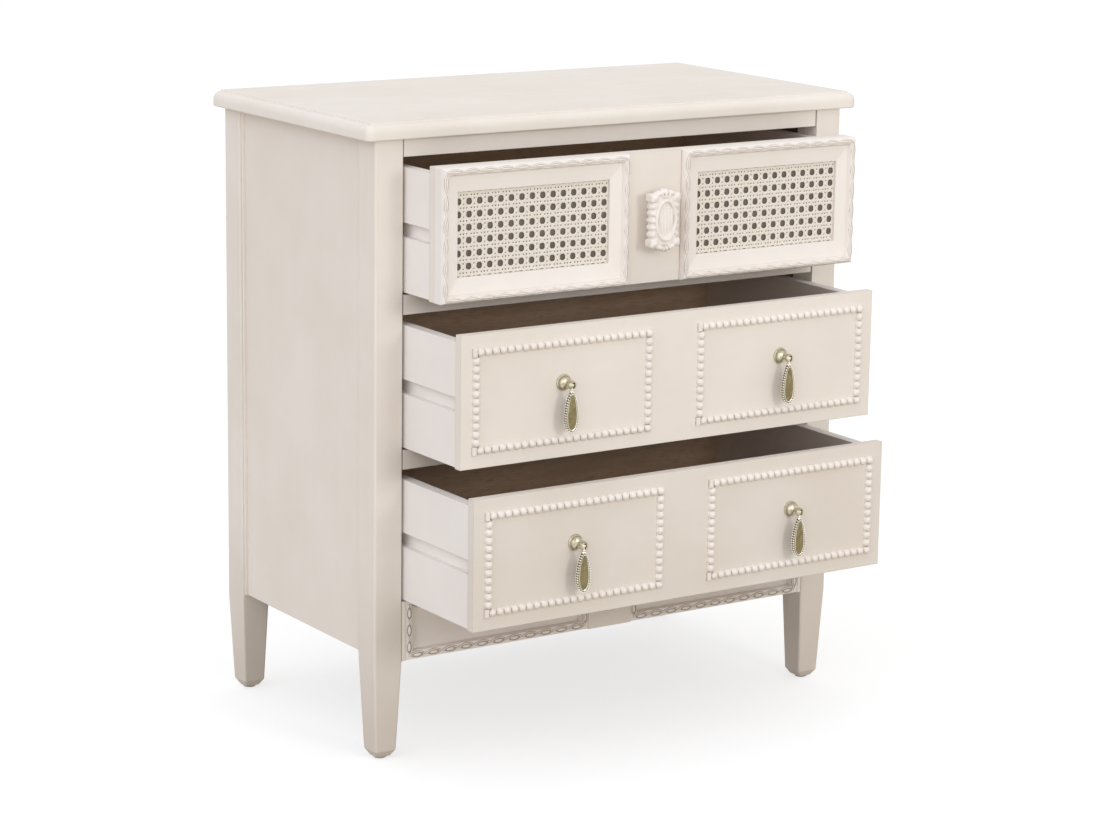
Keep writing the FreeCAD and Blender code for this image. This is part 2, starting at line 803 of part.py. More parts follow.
def carcass_pieces():
    """Everything that stands still, by node name."""
    pieces = {"top_slab": top_slab(), "back_panel": back_panel(0), "foot_glides": foot_glides()}
    for hand, side in (("left", -1), ("right", 1)):
        pieces["front_%s_post" % hand] = post(side, False)
        pieces["rear_%s_post" % hand] = post(side, True)
        pieces["%s_side_panel" % hand] = side_panel(side, 0)
        pieces["%s_runners" % hand] = runners(side)
        pieces["apron_%s_moulding" % hand] = apron_moulding(side)
    for name, y_low, thickness, z_low, z_high in cross_rails():
        pieces[name] = cross_rail(y_low, thickness, z_low, z_high)
    pieces["apron_block"] = apron_block()
    screws = runner_screws(-1, 0) + runner_screws(1, 0)
    pieces["runner_screws"] = Part.makeCompound(screws)
    pieces["top_screws"] = Part.makeCompound(top_screws(0))
    return pieces


def top_drawer_pieces():
    """The drawer with the two cane panels and the knob, by node name."""
    drawer = Drawer("top_drawer", top_opening_low, top_drawer_open, front_middle_rise)
    pieces = drawer.boards([drawer.bore(0, (drawer.low + drawer.high) / 2, screw_diameter / 2, screw_sides)])
    for hand, side in (("left", -1), ("right", 1)):
        pieces["%s_carved_moulding" % hand] = carved_moulding(drawer, side)
        pieces["%s_cane_frame" % hand] = cane_frame(drawer, side)
        pieces["%s_cane_panel" % hand] = cane_panel(drawer, side)
    pieces["cane_backings"] = cane_backings(drawer)
    pieces["carved_knob"] = knob(drawer)
    pieces["knob_screw"] = knob_screw(drawer, 0)
    return pieces


def beaded_drawer_pieces(name, opening_low, opened):
    """A drawer with two beaded frames and two drop pulls, by node name."""
    drawer = Drawer(name + "_drawer", opening_low, opened)
    places = pull_places(drawer)
    pieces = drawer.boards([drawer.bore(place.x, place.z, stud_radius, turned_sides) for place in places])
    for hand, side in (("left", -1), ("right", 1)):
        pieces["%s_%s_beading" % (name, hand)] = bead_frame(drawer, side)
    pieces.update(pull_set(drawer, name))
    return pieces


def build():
    """Make every piece and write it out under its own name."""
    os.makedirs("parts", exist_ok=True)
    pieces = carcass_pieces()
    pieces.update(top_drawer_pieces())
    pieces.update(beaded_drawer_pieces("middle", middle_opening_low, middle_drawer_open))
    pieces.update(beaded_drawer_pieces("lower", lower_opening_low, lower_drawer_open))
    for name, shape in pieces.items():
        shape.exportStep("parts/%s.step" % name)
    print(len(pieces), "nodes,", sum(len(shape.Solids) for shape in pieces.values()), "solids")


build()
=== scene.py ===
"""The looks of a painted three-drawer commode: cane panels, carved bands, beaded fronts and drop pulls."""

import logging
import math
from contextlib import contextmanager
from dataclasses import dataclass
from enum import Enum
from itertools import pairwise
from typing import Any, Callable, Iterable, Iterator, Sequence

import bmesh
import bpy
from mathutils import Matrix, Vector


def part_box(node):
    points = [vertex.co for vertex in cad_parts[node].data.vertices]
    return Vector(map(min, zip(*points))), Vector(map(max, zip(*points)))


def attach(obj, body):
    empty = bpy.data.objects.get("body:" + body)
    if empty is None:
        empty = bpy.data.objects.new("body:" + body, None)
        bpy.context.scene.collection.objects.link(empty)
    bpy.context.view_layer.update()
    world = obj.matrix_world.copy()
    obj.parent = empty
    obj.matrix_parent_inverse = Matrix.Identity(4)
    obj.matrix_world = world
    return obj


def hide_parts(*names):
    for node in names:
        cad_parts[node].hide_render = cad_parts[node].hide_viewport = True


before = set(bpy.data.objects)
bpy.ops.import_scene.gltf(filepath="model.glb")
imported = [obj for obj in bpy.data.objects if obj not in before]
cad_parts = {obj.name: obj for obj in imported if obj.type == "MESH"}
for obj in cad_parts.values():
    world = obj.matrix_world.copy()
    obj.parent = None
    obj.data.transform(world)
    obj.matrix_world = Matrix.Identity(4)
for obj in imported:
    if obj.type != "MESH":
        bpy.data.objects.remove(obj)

LOG = logging.getLogger("commode")
MM = 0.001
QUARTER = math.pi / 2
FACING = (QUARTER, 0, 0)  # turns a flat primitive to face the front
ON_END = Matrix.Rotation(QUARTER, 4, "Y")  # stands a piece that lies along X on its end
ORIGIN = (0.0, 0.0, 0.0)
SQUARE_ON = 0.9  # a face looks along an axis when its normal passes this
FULL = (0.0, 1.0)
NOISE = (0.3, 0.7)  # where most values of a noise lie
COLOUR, NUMBER, VECTOR = "NodeSocketColor", "NodeSocketFloat", "NodeSocketVector"

Colour = tuple[float, float, float]
Sizes = tuple[float, float, float]
Span = tuple[float, float]
Test = Callable[[Any], bool]
Piece = bpy.types.Object
Socket = bpy.types.NodeSocket


def mm(*sizes: float) -> tuple[float, ...]:
    """Give sizes that are written in millimetres in metres."""
    return tuple(size * MM for size in sizes)


def at(x: float, y: float, z: float) -> Matrix:
    """Give the move from the origin to a place."""
    return Matrix.Translation((x, y, z))


class Body(Enum):
    """The bodies that pieces ride on."""

    CARCASS = "carcass"
    TOP = "top_drawer"
    MIDDLE = "middle_drawer"
    LOWER = "lower_drawer"

    @property
    def word(self) -> str:
        """First word of the body's name."""
        return self.value.split("_")[0]


class Slot(Enum):
    """The record's material slots, one named for each new piece."""

    IVORY = "ivory_paint"
    CANE = "painted_cane"
    BRASS = "old_brass"
    PAD = "pale_pad"


class Axis(Enum):
    """The three directions of the frame."""

    X = 0
    Y = 1
    Z = 2

    def stretch(self, along: float, across: float) -> Sizes:
        """Give a texture stretch that is slow along this axis and quick across it."""
        return tuple(along if index == self.value else across for index in range(3))


class Hand(Enum):
    """The two halves of the chest, as seen from the front."""

    LEFT = "left"
    RIGHT = "right"

    @property
    def outward(self) -> int:
        """Way along X from the middle of the chest to this half."""
        return -1 if self is Hand.LEFT else 1


class Pick:
    """Tests that say which parts of a mesh are worked on."""

    @staticmethod
    def every(part: Any) -> bool:
        """Pick everything."""
        return True

    @staticmethod
    def upright(edge: Any) -> bool:
        """Pick edges that run up and down."""
        return abs(edge.verts[0].co.z - edge.verts[1].co.z) > MM

    @staticmethod
    def before(level: float) -> Test:
        """Pick edges that lie in front of a level."""
        return lambda edge: all(vert.co.y < level for vert in edge.verts)


class Bench:
    """Hand tools for modelling; each one lets go of everything before it picks up its piece."""

    @staticmethod
    def clear() -> None:
        """Leave edit mode and deselect everything."""
        if bpy.context.object and bpy.context.object.mode != "OBJECT":
            bpy.ops.object.mode_set(mode="OBJECT")
        bpy.ops.object.select_all(action="DESELECT")

    @staticmethod
    def hold(piece: Piece) -> None:
        """Select one piece and make it active.

        Args:
            piece: The piece.
        """
        Bench.clear()
        piece.select_set(True)
        bpy.context.view_layer.objects.active = piece

    @staticmethod
    def settle(name: str) -> Piece:
        """Name the piece just added and move its place, turn and scale into its mesh.

        Args:
            name: Name of the piece.

        Returns:
            The piece.
        """
        piece = bpy.context.object
        piece.name = piece.data.name = name
        Bench.hold(piece)
        bpy.ops.object.transform_apply(location=True, rotation=True, scale=True)
        return piece

    @staticmethod
    def block(name: str, low: Vector, high: Vector) -> Piece:
        """Cut a square block.

        Args:
            name: Name of the piece.
            low: Lowest corner, in metres.
            high: Highest corner, in metres.

        Returns:
            The block, with its place in its mesh.
        """
        Bench.clear()
        bpy.ops.mesh.primitive_cube_add(size=1, location=(low + high) / 2, scale=high - low)
        return Bench.settle(name)

    @staticmethod
    def lump(name: str, centre: Sequence[float], size: Sequence[float], segments: int, rings: int,
             turn: float = 0.0) -> Piece:
        """Make a rounded lump, as a chisel leaves a bud or a lobe.

        Args:
            name: Name of the piece.
            centre: Middle of the lump, in metres.
            size: Half sizes along X, Y and Z.
            segments: Faces around it.
            rings: Faces from pole to pole.
            turn: Turn about Y, in radians.

        Returns:
            The lump.
        """
        Bench.clear()
        bpy.ops.mesh.primitive_uv_sphere_add(segments=segments, ring_count=rings, radius=1,
                                             location=centre, rotation=(0, turn, 0), scale=size)
        return Bench.settle(name)

    @staticmethod
    def hoop(name: str, centre: Sequence[float], half: Sequence[float], steps: int, sides: int) -> Piece:
        """Make an oval ring that lies flat against the front.

        Args:
            name: Name of the piece.
            centre: Middle of the ring, in metres.
            half: Half width and half height to the middle of the rim, and the rim's radius.
            steps: Faces along the rim.
            sides: Faces around the rim.

        Returns:
            The ring.
        """
        wide, tall, thick = half
        Bench.clear()
        bpy.ops.mesh.primitive_torus_add(major_segments=steps, minor_segments=sides, major_radius=wide,
                                         minor_radius=thick, rotation=FACING)
        ring = Bench.settle(name)
        for vert in ring.data.vertices:
            vert.co.z += (tall - wide) * vert.co.z / math.hypot(vert.co.x, vert.co.z)
            vert.co += Vector(centre)
        return ring

    @staticmethod
    def wave(name: str, length: float, height: float, thick: float, steps: int = 8,
             sides: int = 5) -> Piece:
        """Bend a rod along X into half a wave.

        Args:
            name: Name of the piece.
            length: Length of the half wave.
            height: How far its middle is pushed along Z.
            thick: Radius of the rod.
            steps: Faces along it.
            sides: Faces around it.

        Returns:
            The bent rod, centred on the origin.
        """
        Bench.clear()
        bpy.ops.mesh.primitive_cylinder_add(vertices=sides, radius=thick, depth=length,
                                            rotation=(0, QUARTER, 0))
        rod = Bench.settle(name)
        for step in range(1, steps):
            with Bench.editing(rod, "FACE", Pick.every):
                bpy.ops.mesh.bisect(plane_co=(length * (step / steps - 0.5), 0, 0), plane_no=(1, 0, 0))
        for vert in rod.data.vertices:
            vert.co.z += height * math.cos(math.pi * vert.co.x / length)
        return rod

    @staticmethod
    def disc(name: str, sides: int, radius: float) -> Piece:
        """Cut a disc that faces the front, at the origin.

        Args:
            name: Name of the piece.
            sides: Faces around it.
            radius: Its radius, in metres.

        Returns:
            The disc.
        """
        Bench.clear()
        bpy.ops.mesh.primitive_circle_add(vertices=sides, radius=radius, fill_type="NGON",
                                          rotation=FACING)
        return Bench.settle(name)

    @staticmethod
    def turn(name: str, profile: Sequence[Span], sides: int) -> Piece:
        """Turn a piece from a disc by pulling its front face out step by step.

        Args:
            name: Name of the piece.
            profile: (radius, reach) pairs; reach runs out along -Y from the origin.
            sides: Faces around the piece.

        Returns:
            The turned piece, standing at the origin.
        """
        piece = Bench.disc(name, sides, profile[0][0])
        with Bench.editing(piece, "FACE", Pick.every):
            for (radius, reach), (next_radius, next_reach) in pairwise(profile):
                Bench.pull(0, reach - next_reach, 0)
                share = next_radius / radius
                bpy.ops.transform.resize(value=(share, 1, share), center_override=ORIGIN)
        Bench.face_out(piece)
        return piece

    @staticmethod
    @contextmanager
    def editing(piece: Piece, kind: str, pick: Test) -> Iterator[None]:
        """Open a piece in edit mode with the picked parts selected.

        Args:
            piece: The piece to work on.
            kind: "VERT", "EDGE" or "FACE".
            pick: Test that says which vertices, edges or faces are selected.

        Yields:
            Nothing; operators run inside the block.
        """
        Bench.hold(piece)
        bpy.ops.object.mode_set(mode="EDIT")
        bpy.ops.mesh.select_mode(type=kind)
        bpy.ops.mesh.select_all(action="DESELECT")
        shape = bmesh.from_edit_mesh(piece.data)
        for part in {"VERT": shape.verts, "EDGE": shape.edges, "FACE": shape.faces}[kind]:
            if pick(part):
                part.select_set(True)
        bmesh.update_edit_mesh(piece.data)
        yield
        bpy.ops.object.mode_set(mode="OBJECT")

    @staticmethod
    def pull(x: float, y: float, z: float) -> None:
        """Pull the selected faces out by a move."""
        bpy.ops.mesh.extrude_region_move(TRANSFORM_OT_translate={"value": (x, y, z)})

    @staticmethod
    def round_edges(piece: Piece, pick: Test, size: float, steps: int) -> None:
        """Round the picked edges over a width in so many steps."""
        with Bench.editing(piece, "EDGE", pick):
            bpy.ops.mesh.bevel(offset=size, segments=steps, affect="EDGES")

    @staticmethod
    def face_out(piece: Piece) -> None:
        """Turn every face outward."""
        with Bench.editing(piece, "FACE", Pick.every):
            bpy.ops.mesh.normals_make_consistent(inside=False)

    @staticmethod
    def modify(piece: Piece, kind: str, **settings: Any) -> None:
        """Add a modifier with its settings and apply it.

        Args:
            piece: The piece to change.
            kind: Blender's kind of modifier.
            settings: The modifier's settings.
        """
        Bench.hold(piece)
        modifier = piece.modifiers.new(kind.lower(), kind)
        for key, value in settings.items():
            setattr(modifier, key, value)
        bpy.ops.object.modifier_apply(modifier=modifier.name)

    @staticmethod
    def cut(piece: Piece, low: Vector, high: Vector) -> None:
        """Cut a square hollow out of a piece.

        Args:
            piece: The piece to cut.
            low: Lowest corner of the hollow.
            high: Highest corner of the hollow.
        """
        cutter = Bench.block("cutter", low, high)
        Bench.modify(piece, "BOOLEAN", operation="DIFFERENCE", object=cutter, solver="EXACT")
        Bench.scrap(cutter)

    @staticmethod
    def trim(piece: Piece, low: Vector, high: Vector, axes: Iterable[Axis]) -> None:
        """Cut a piece off at the sides of a box, and close the cuts.

        Args:
            piece: The piece to cut.
            low: Lowest corner of what stays.
            high: Highest corner of what stays.
            axes: The directions that are cut.
        """
        for axis in axes:
            for corner, way in ((low, -1), (high, 1)):
                normal = [0.0, 0.0, 0.0]
                normal[axis.value] = way
                with Bench.editing(piece, "FACE", Pick.every):
                    bpy.ops.mesh.bisect(plane_co=corner, plane_no=normal, use_fill=True, clear_outer=True)

    @staticmethod
    def join(pieces: Sequence[Piece], name: str) -> Piece:
        """Join pieces into one, which keeps every material slot.

        Args:
            pieces: The pieces.
            name: Name of the joined piece.

        Returns:
            The joined piece.
        """
        Bench.clear()
        for piece in pieces:
            piece.select_set(True)
        bpy.context.view_layer.objects.active = pieces[0]
        bpy.ops.object.join()
        return Bench.settle(name)

    @staticmethod
    def twin(master: Piece, place: Matrix) -> Piece:
        """Copy a piece with a mesh of its own.

        Args:
            master: The piece to copy.
            place: Where the copy goes.

        Returns:
            The copy.
        """
        copy = master.copy()
        copy.data = master.data.copy()
        copy.data.transform(place)
        bpy.context.collection.objects.link(copy)
        return copy

    @staticmethod
    def copies(master: Piece, places: Iterable[Matrix], name: str) -> Piece:
        """Join copies of a master piece and throw the master away.

        Args:
            master: The piece to copy.
            places: A place for each copy.
            name: Name of the joined copies.

        Returns:
            The joined copies.
        """
        row = Bench.join([Bench.twin(master, place) for place in places], name)
        Bench.scrap(master)
        return row

    @staticmethod
    def scrap(*pieces: Piece) -> None:
        """Throw pieces away."""
        for piece in pieces:
            bpy.data.objects.remove(piece, do_unlink=True)

    @staticmethod
    def smooth(piece: Piece, degrees: float, board: bool = False) -> Piece:
        """Shade a piece smooth with sharper edges kept crisp, and the wide faces of a board kept flat.

        Args:
            piece: The piece.
            degrees: Turn past which an edge stays crisp.
            board: Whether wide faces are kept flat.

        Returns:
            The same piece.
        """
        Bench.hold(piece)
        bpy.ops.object.shade_smooth_by_angle(angle=math.radians(degrees))
        if board:
            Bench.modify(piece, "WEIGHTED_NORMAL", weight=100, keep_sharp=True)
        return piece

    @staticmethod
    def fit(piece: Piece, body: str, slot: Slot, *replaced: str) -> None:
        """Let a finished piece ride its body.

        Args:
            piece: The finished piece.
            body: Name of the body that carries it.
            slot: Material slot of the record that it belongs to; not used.
            replaced: Solids that it stands in for.
        """
        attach(piece, body)
        if replaced:
            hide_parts(*replaced)
        LOG.info("%s on %s, %d faces", piece.name, body, len(piece.data.polygons))

    @staticmethod
    def lamp(kind: str, name: str, place: Vector, away: Vector) -> bpy.types.Light:
        """Hang a lamp.

        Args:
            kind: Blender's kind of lamp.
            name: Name of the lamp.
            place: Where it hangs.
            away: Direction from what it lights to the lamp.

        Returns:
            The lamp's settings.
        """
        Bench.clear()
        bpy.ops.object.light_add(type=kind, location=place)
        lamp = bpy.context.object
        lamp.name = name
        lamp.rotation_euler = away.to_track_quat("Z", "Y").to_euler()
        return lamp.data


class Graph:
    """A shader node tree with short calls for nodes and links."""

    def __init__(self, tree: bpy.types.NodeTree) -> None:
        """Start on a tree."""
        self.tree = tree

    def add(self, kind: str, values: dict[Any, Any] | None = None, **settings: Any) -> bpy.types.Node:
        """Add a node.

        Args:
            kind: Node type.
            values: Input values or links, by socket name or number.
            settings: Plain settings of the node.

        Returns:
            The new node.
        """
        node = self.tree.nodes.new(kind)
        for key, value in settings.items():
            setattr(node, key, value)
        for key, value in (values or {}).items():
            self.plug(node.inputs[key], value)
        return node

    def plug(self, socket: Socket, value: Any) -> None:
        """Link a socket to another, or set its value.

        Args:
            socket: The socket.
            value: What feeds it.
        """
        if isinstance(value, bpy.types.NodeSocket):
            self.tree.links.new(value, socket)
        elif socket.type == "RGBA" and len(value) == 3:
            socket.default_value = (*value, 1.0)
        else:
            socket.default_value = value

    def mix(self, share: Any, first: Any, second: Any) -> Socket:
        """Mix two colours by a share."""
        return self.add("ShaderNodeMix", {0: share, 6: first, 7: second}, data_type="RGBA").outputs[2]

    def reckon(self, operation: str, first: Any, second: Any) -> Socket:
        """Reckon one value from two."""
        return self.add("ShaderNodeMath", {0: first, 1: second}, operation=operation).outputs[0]

    def part(self, value: Any, share: Any) -> Socket:
        """Take a share of a value."""
        return self.reckon("MULTIPLY", value, share)

    def span(self, value: Any, given: Span, wanted: Sequence[Any] = FULL) -> Socket:
        """Spread a value from one range to another, held at both ends."""
        return self.add("ShaderNodeMapRange", {"Value": value, "From Min": given[0], "From Max": given[1],
                                               "To Min": wanted[0], "To Max": wanted[1]}).outputs[0]

    def noise(self, vector: Any, scale: Any, detail: float, rough: float = 0.5) -> Socket:
        """Add a noise and give its value."""
        return self.add("ShaderNodeTexNoise", {"Vector": vector, "Scale": scale, "Detail": detail,
                                               "Roughness": rough}).outputs[0]

    def place(self) -> Socket:
        """Give the place on the object."""
        return self.add("ShaderNodeTexCoord").outputs["Object"]

    def drawn(self, stretch: Any) -> Socket:
        """Give the place on the object, drawn out by a stretch."""
        node = self.add("ShaderNodeVectorMath", {0: self.place(), 1: stretch}, operation="MULTIPLY")
        return node.outputs[0]

    def facing(self, first: Any, second: Any) -> Socket:
        """Say how far two directions agree, from 1 when they are the same."""
        node = self.add("ShaderNodeVectorMath", {0: first, 1: second}, operation="DOT_PRODUCT")
        return node.outputs["Value"]

    def height(self, place: Socket) -> Socket:
        """Give the height of a place."""
        return self.add("ShaderNodeSeparateXYZ", {0: place}).outputs["Z"]

    def seen(self) -> Socket:
        """Mask the rays by which the ground is seen, straight, in metal or through glass.

        Returns:
            The mask.
        """
        path = self.add("ShaderNodeLightPath").outputs
        straight = self.reckon("MAXIMUM", path["Is Camera Ray"], path["Is Transmission Ray"])
        return self.reckon("MAXIMUM", straight, path["Is Glossy Ray"])

    def surface(self, shader: bpy.types.Node, colour: Any, rough: Any, height: Socket, relief: Span,
                **below: Socket) -> None:
        """Wire colour, roughness and a fine relief into a shader.

        Args:
            shader: The shader.
            colour: Its colour.
            rough: Its roughness.
            height: Height of the relief.
            relief: Strength of the relief, and its depth in metres.
            below: The softened Normal that the relief sits on, if any.
        """
        strength, depth = relief
        bump = self.add("ShaderNodeBump", {"Strength": strength, "Distance": depth, "Height": height,
                                           **below})
        for name, value in (("Base Color", colour), ("Roughness", rough), ("Normal", bump.outputs[0])):
            self.plug(shader.inputs[name], value)


class Effect(Enum):
    """Shared shader groups."""

    MOTTLE = "cloudy_tone"
    GRAIN = "brushed_grain"
    EDGE = "soft_worn_edge"
    HOLLOW = "hollow_tone"
    FIGURE = "wood_figure"

    def use(self, graph: Graph, **values: Any) -> Any:
        """Put the group into a material.

        Args:
            graph: The material's graph.
            values: The group's input values, by name.

        Returns:
            The group's outputs.
        """
        node = graph.add("ShaderNodeGroup")
        node.node_tree = bpy.data.node_groups[self.value]
        for key, value in values.items():
            graph.plug(node.inputs[key], value)
        return node.outputs


@dataclass(frozen=True)
class EffectKit:
    """Makes the shared shader groups once."""

    cloud: Span = (0.34, 0.68)
    edge_turn: Span = (0.995, 0.86)
    rubbed: Span = (0.46, 0.66)
    shade: Span = (0.75, 0.25)
    pores: Span = (0.52, 0.66)
    fine_share: float = 5.0
    pore_share: float = 9.0
    samples: int = 6

    def start(self, effect: Effect, inputs: dict[str, str],
              outputs: dict[str, str]) -> tuple[Graph, Any, Any]:
        """Open a group with its sockets.

        Args:
            effect: The group to make.
            inputs: Socket types by input name.
            outputs: Socket types by output name.

        Returns:
            The graph, what it is given and what it puts out.
        """
        tree = bpy.data.node_groups.new(effect.value, "ShaderNodeTree")
        for sockets, way in ((inputs, "INPUT"), (outputs, "OUTPUT")):
            for name, kind in sockets.items():
                tree.interface.new_socket(name=name, in_out=way, socket_type=kind)
        graph = Graph(tree)
        return graph, graph.add("NodeGroupInput").outputs, graph.add("NodeGroupOutput").inputs

    def mottle(self) -> None:
        """Cloudy change between two tones, as thin paint has."""
        graph, given, out = self.start(
            Effect.MOTTLE, {"Light": COLOUR, "Dark": COLOUR, "Scale": NUMBER}, {"Colour": COLOUR})
        cloud = graph.noise(graph.place(), given["Scale"], detail=6.0, rough=0.6)
        graph.plug(out["Colour"], graph.mix(graph.span(cloud, self.cloud), given["Light"], given["Dark"]))

    def grain(self) -> None:
        """Fine streaks along one direction, from the brush and the wood below."""
        graph, given, out = self.start(
            Effect.GRAIN, {"Stretch": VECTOR, "Scale": NUMBER}, {"Streak": NUMBER, "Fine": NUMBER})
        drawn = graph.drawn(given["Stretch"])
        graph.plug(out["Streak"], graph.noise(drawn, given["Scale"], detail=5.0, rough=0.65))
        fine = graph.part(given["Scale"], self.fine_share)
        graph.plug(out["Fine"], graph.noise(drawn, fine, detail=3.0))

    def edge(self) -> None:
        """Soft edges, and a mask of where hands and cloths have rubbed them."""
        graph, given, out = self.start(
            Effect.EDGE, {"Radius": NUMBER, "Patches": NUMBER}, {"Normal": VECTOR, "Wear": NUMBER})
        soft = graph.add("ShaderNodeBevel", {"Radius": given["Radius"]}, samples=self.samples).outputs[0]
        true = graph.add("ShaderNodeNewGeometry").outputs["Normal"]
        turned = graph.span(graph.facing(soft, true), self.edge_turn)
        patches = graph.noise(graph.place(), given["Patches"], detail=4.0, rough=0.6)
        graph.plug(out["Normal"], soft)
        graph.plug(out["Wear"], graph.part(turned, graph.span(patches, self.rubbed)))

    def hollow(self) -> None:
        """Mask of hollows and recesses by ambient occlusion: painted shade in the paints and cane, tarnish
        in the metals.
        """
        graph, given, out = self.start(Effect.HOLLOW, {"Reach": NUMBER}, {"Mask": NUMBER})
        shade = graph.add("ShaderNodeAmbientOcclusion", {"Distance": given["Reach"]}, samples=self.samples)
        graph.plug(out["Mask"], graph.span(shade.outputs["AO"], self.shade))

    def figure(self) -> None:
        """Bands and pores of stained wood."""
        graph, given, out = self.start(
            Effect.FIGURE, {"Stretch": VECTOR, "Scale": NUMBER}, {"Bands": NUMBER, "Pores": NUMBER})
        drawn = graph.drawn(given["Stretch"])
        graph.plug(out["Bands"], graph.noise(drawn, given["Scale"], detail=4.0, rough=0.55))
        pores = graph.noise(drawn, graph.part(given["Scale"], self.pore_share), detail=2.0)
        graph.plug(out["Pores"], graph.span(pores, self.pores))

    def make_all(self) -> None:
        """Make every group."""
        for make in (self.mottle, self.grain, self.edge, self.hollow, self.figure):
            make()
        LOG.info("shader groups: %s", ", ".join(effect.value for effect in Effect))


class Finish:
    """A surface finish that makes its material once."""

    name: str

    def paint(self, graph: Graph, shader: bpy.types.Node) -> None:
        """Wire the finish into a shader.

        Args:
            graph: The material's graph.
            shader: The material's shader.
        """
        raise NotImplementedError

    def material(self) -> bpy.types.Material:
        """Give the material, made on first use.

        Returns:
            The material.
        """
        material = bpy.data.materials.get(self.name)
        if not material:
            material = bpy.data.materials.new(self.name)
            material.use_nodes = True
            self.paint(Graph(material.node_tree), material.node_tree.nodes["Principled BSDF"])
        return material

    def on(self, piece: Piece) -> Piece:
        """Put the finish on a whole piece.

        Args:
            piece: The piece.

        Returns:
            The same piece.
        """
        piece.data.materials.clear()
        piece.data.materials.append(self.material())
        return piece


@dataclass(frozen=True)
class BrownWood(Finish):
    """Dark stained wood, as inside the drawers."""

    name: str = "brown_stain"
    run: Axis = Axis.X
    light: Colour = (0.590, 0.425, 0.292)
    dark: Colour = (0.445, 0.308, 0.207)
    along: float = 0.12
    scale: float = 55.0
    wax: Span = (0.48, 0.62)
    relief: Span = (0.12, 0.6 * MM)

    def tone(self, graph: Graph) -> tuple[Socket, Socket]:
        """Wire the colour of the wood.

        Args:
            graph: The material's graph.

        Returns:
            The colour and the height of the grain.
        """
        figure = Effect.FIGURE.use(graph, Stretch=self.run.stretch(self.along, 1.0), Scale=self.scale)
        colour = graph.mix(graph.span(figure["Bands"], NOISE), self.light, self.dark)
        return graph.mix(figure["Pores"], colour, self.dark), figure["Bands"]

    def paint(self, graph: Graph, shader: bpy.types.Node) -> None:
        """Wire grain, pores and a dull wax."""
        colour, height = self.tone(graph)
        graph.surface(shader, colour, graph.span(height, NOISE, self.wax), height, self.relief)


@dataclass(frozen=True)
class IvoryPaint(Finish):
    """Ivory paint rubbed thin over wood; it may carry painted shade in hollows and toward the floor, and
    the inner face of a board may be left as stained wood.
    """

    name: str
    run: Axis = Axis.X
    light: Colour = (0.815, 0.750, 0.685)
    dark: Colour = (0.765, 0.695, 0.620)
    rub: Colour = (0.560, 0.450, 0.320)
    # Painted shade: this dark colour darkens the paint in hollows and recesses, by occlusion over the
    # hollow reach, and toward the floor.
    shade_tone: Colour = (0.400, 0.325, 0.245)
    edge: float = 1.3 * MM
    hollow: float = 0.0
    shade_share: float = 0.48
    inner: Sizes | None = None
    bare: float = 1.0
    # Painted shade: the paint darkens toward the floor, up to the given heights.
    floor_shade: float = 0.0
    floor_shade_up_to: Span = (0.02, 0.26)
    clouds: float = 7.0
    along: float = 0.06
    streaks: float = 60.0
    streaked: Span = (0.35, 0.75)
    streak_tone: float = 0.20
    rubs: float = 26.0
    rub_tone: float = 0.45
    fine: float = 0.3
    rough: Span = (0.50, 0.64)
    relief: Span = (0.10, 0.4 * MM)

    def tone(self, graph: Graph, wear: Socket, streak: Socket) -> Socket:
        """Wire the colour of the paint, with painted shade toward the floor and in hollows.

        Args:
            graph: The material's graph.
            wear: Mask of rubbed edges.
            streak: Brush streaks.

        Returns:
            The colour.
        """
        cloud = Effect.MOTTLE.use(graph, Light=self.light, Dark=self.dark, Scale=self.clouds)[0]
        brushed = graph.mix(graph.span(streak, self.streaked, (0.0, self.streak_tone)), cloud, self.dark)
        # Painted shade: darker toward the floor.
        if self.floor_shade:
            floor_dim = graph.span(graph.height(graph.place()), self.floor_shade_up_to, (self.floor_shade, 0.0))
            brushed = graph.mix(floor_dim, brushed, self.shade_tone)
        rubbed = graph.mix(graph.part(wear, self.rub_tone), brushed, self.rub)
        if not self.hollow:
            return rubbed
        # Painted shade: darker in hollows and recesses, by ambient occlusion.
        mask = Effect.HOLLOW.use(graph, Reach=self.hollow)[0]
        return graph.mix(graph.part(mask, self.shade_share), rubbed, self.shade_tone)

    def paint(self, graph: Graph, shader: bpy.types.Node) -> None:
        """Wire mottled paint, brush streaks, soft worn edges and the bare inner face.

        Args:
            graph: The material's graph.
            shader: The material's shader.
        """
        grain = Effect.GRAIN.use(graph, Stretch=self.run.stretch(self.along, 1.0), Scale=self.streaks)
        edge = Effect.EDGE.use(graph, Radius=self.edge, Patches=self.rubs)
        colour = self.tone(graph, edge["Wear"], grain["Streak"])
        if self.inner:
            normal = graph.add("ShaderNodeNewGeometry").outputs["True Normal"]
            within = graph.reckon("GREATER_THAN", graph.facing(normal, self.inner), 0.5)
            wood = BrownWood(run=self.run).tone(graph)[0]
            colour = graph.mix(graph.part(within, self.bare), colour, wood)
        height = graph.reckon("ADD", grain["Streak"], graph.part(grain["Fine"], self.fine))
        graph.surface(shader, colour, graph.span(grain["Streak"], NOISE, self.rough), height, self.relief,
                      Normal=edge["Normal"])


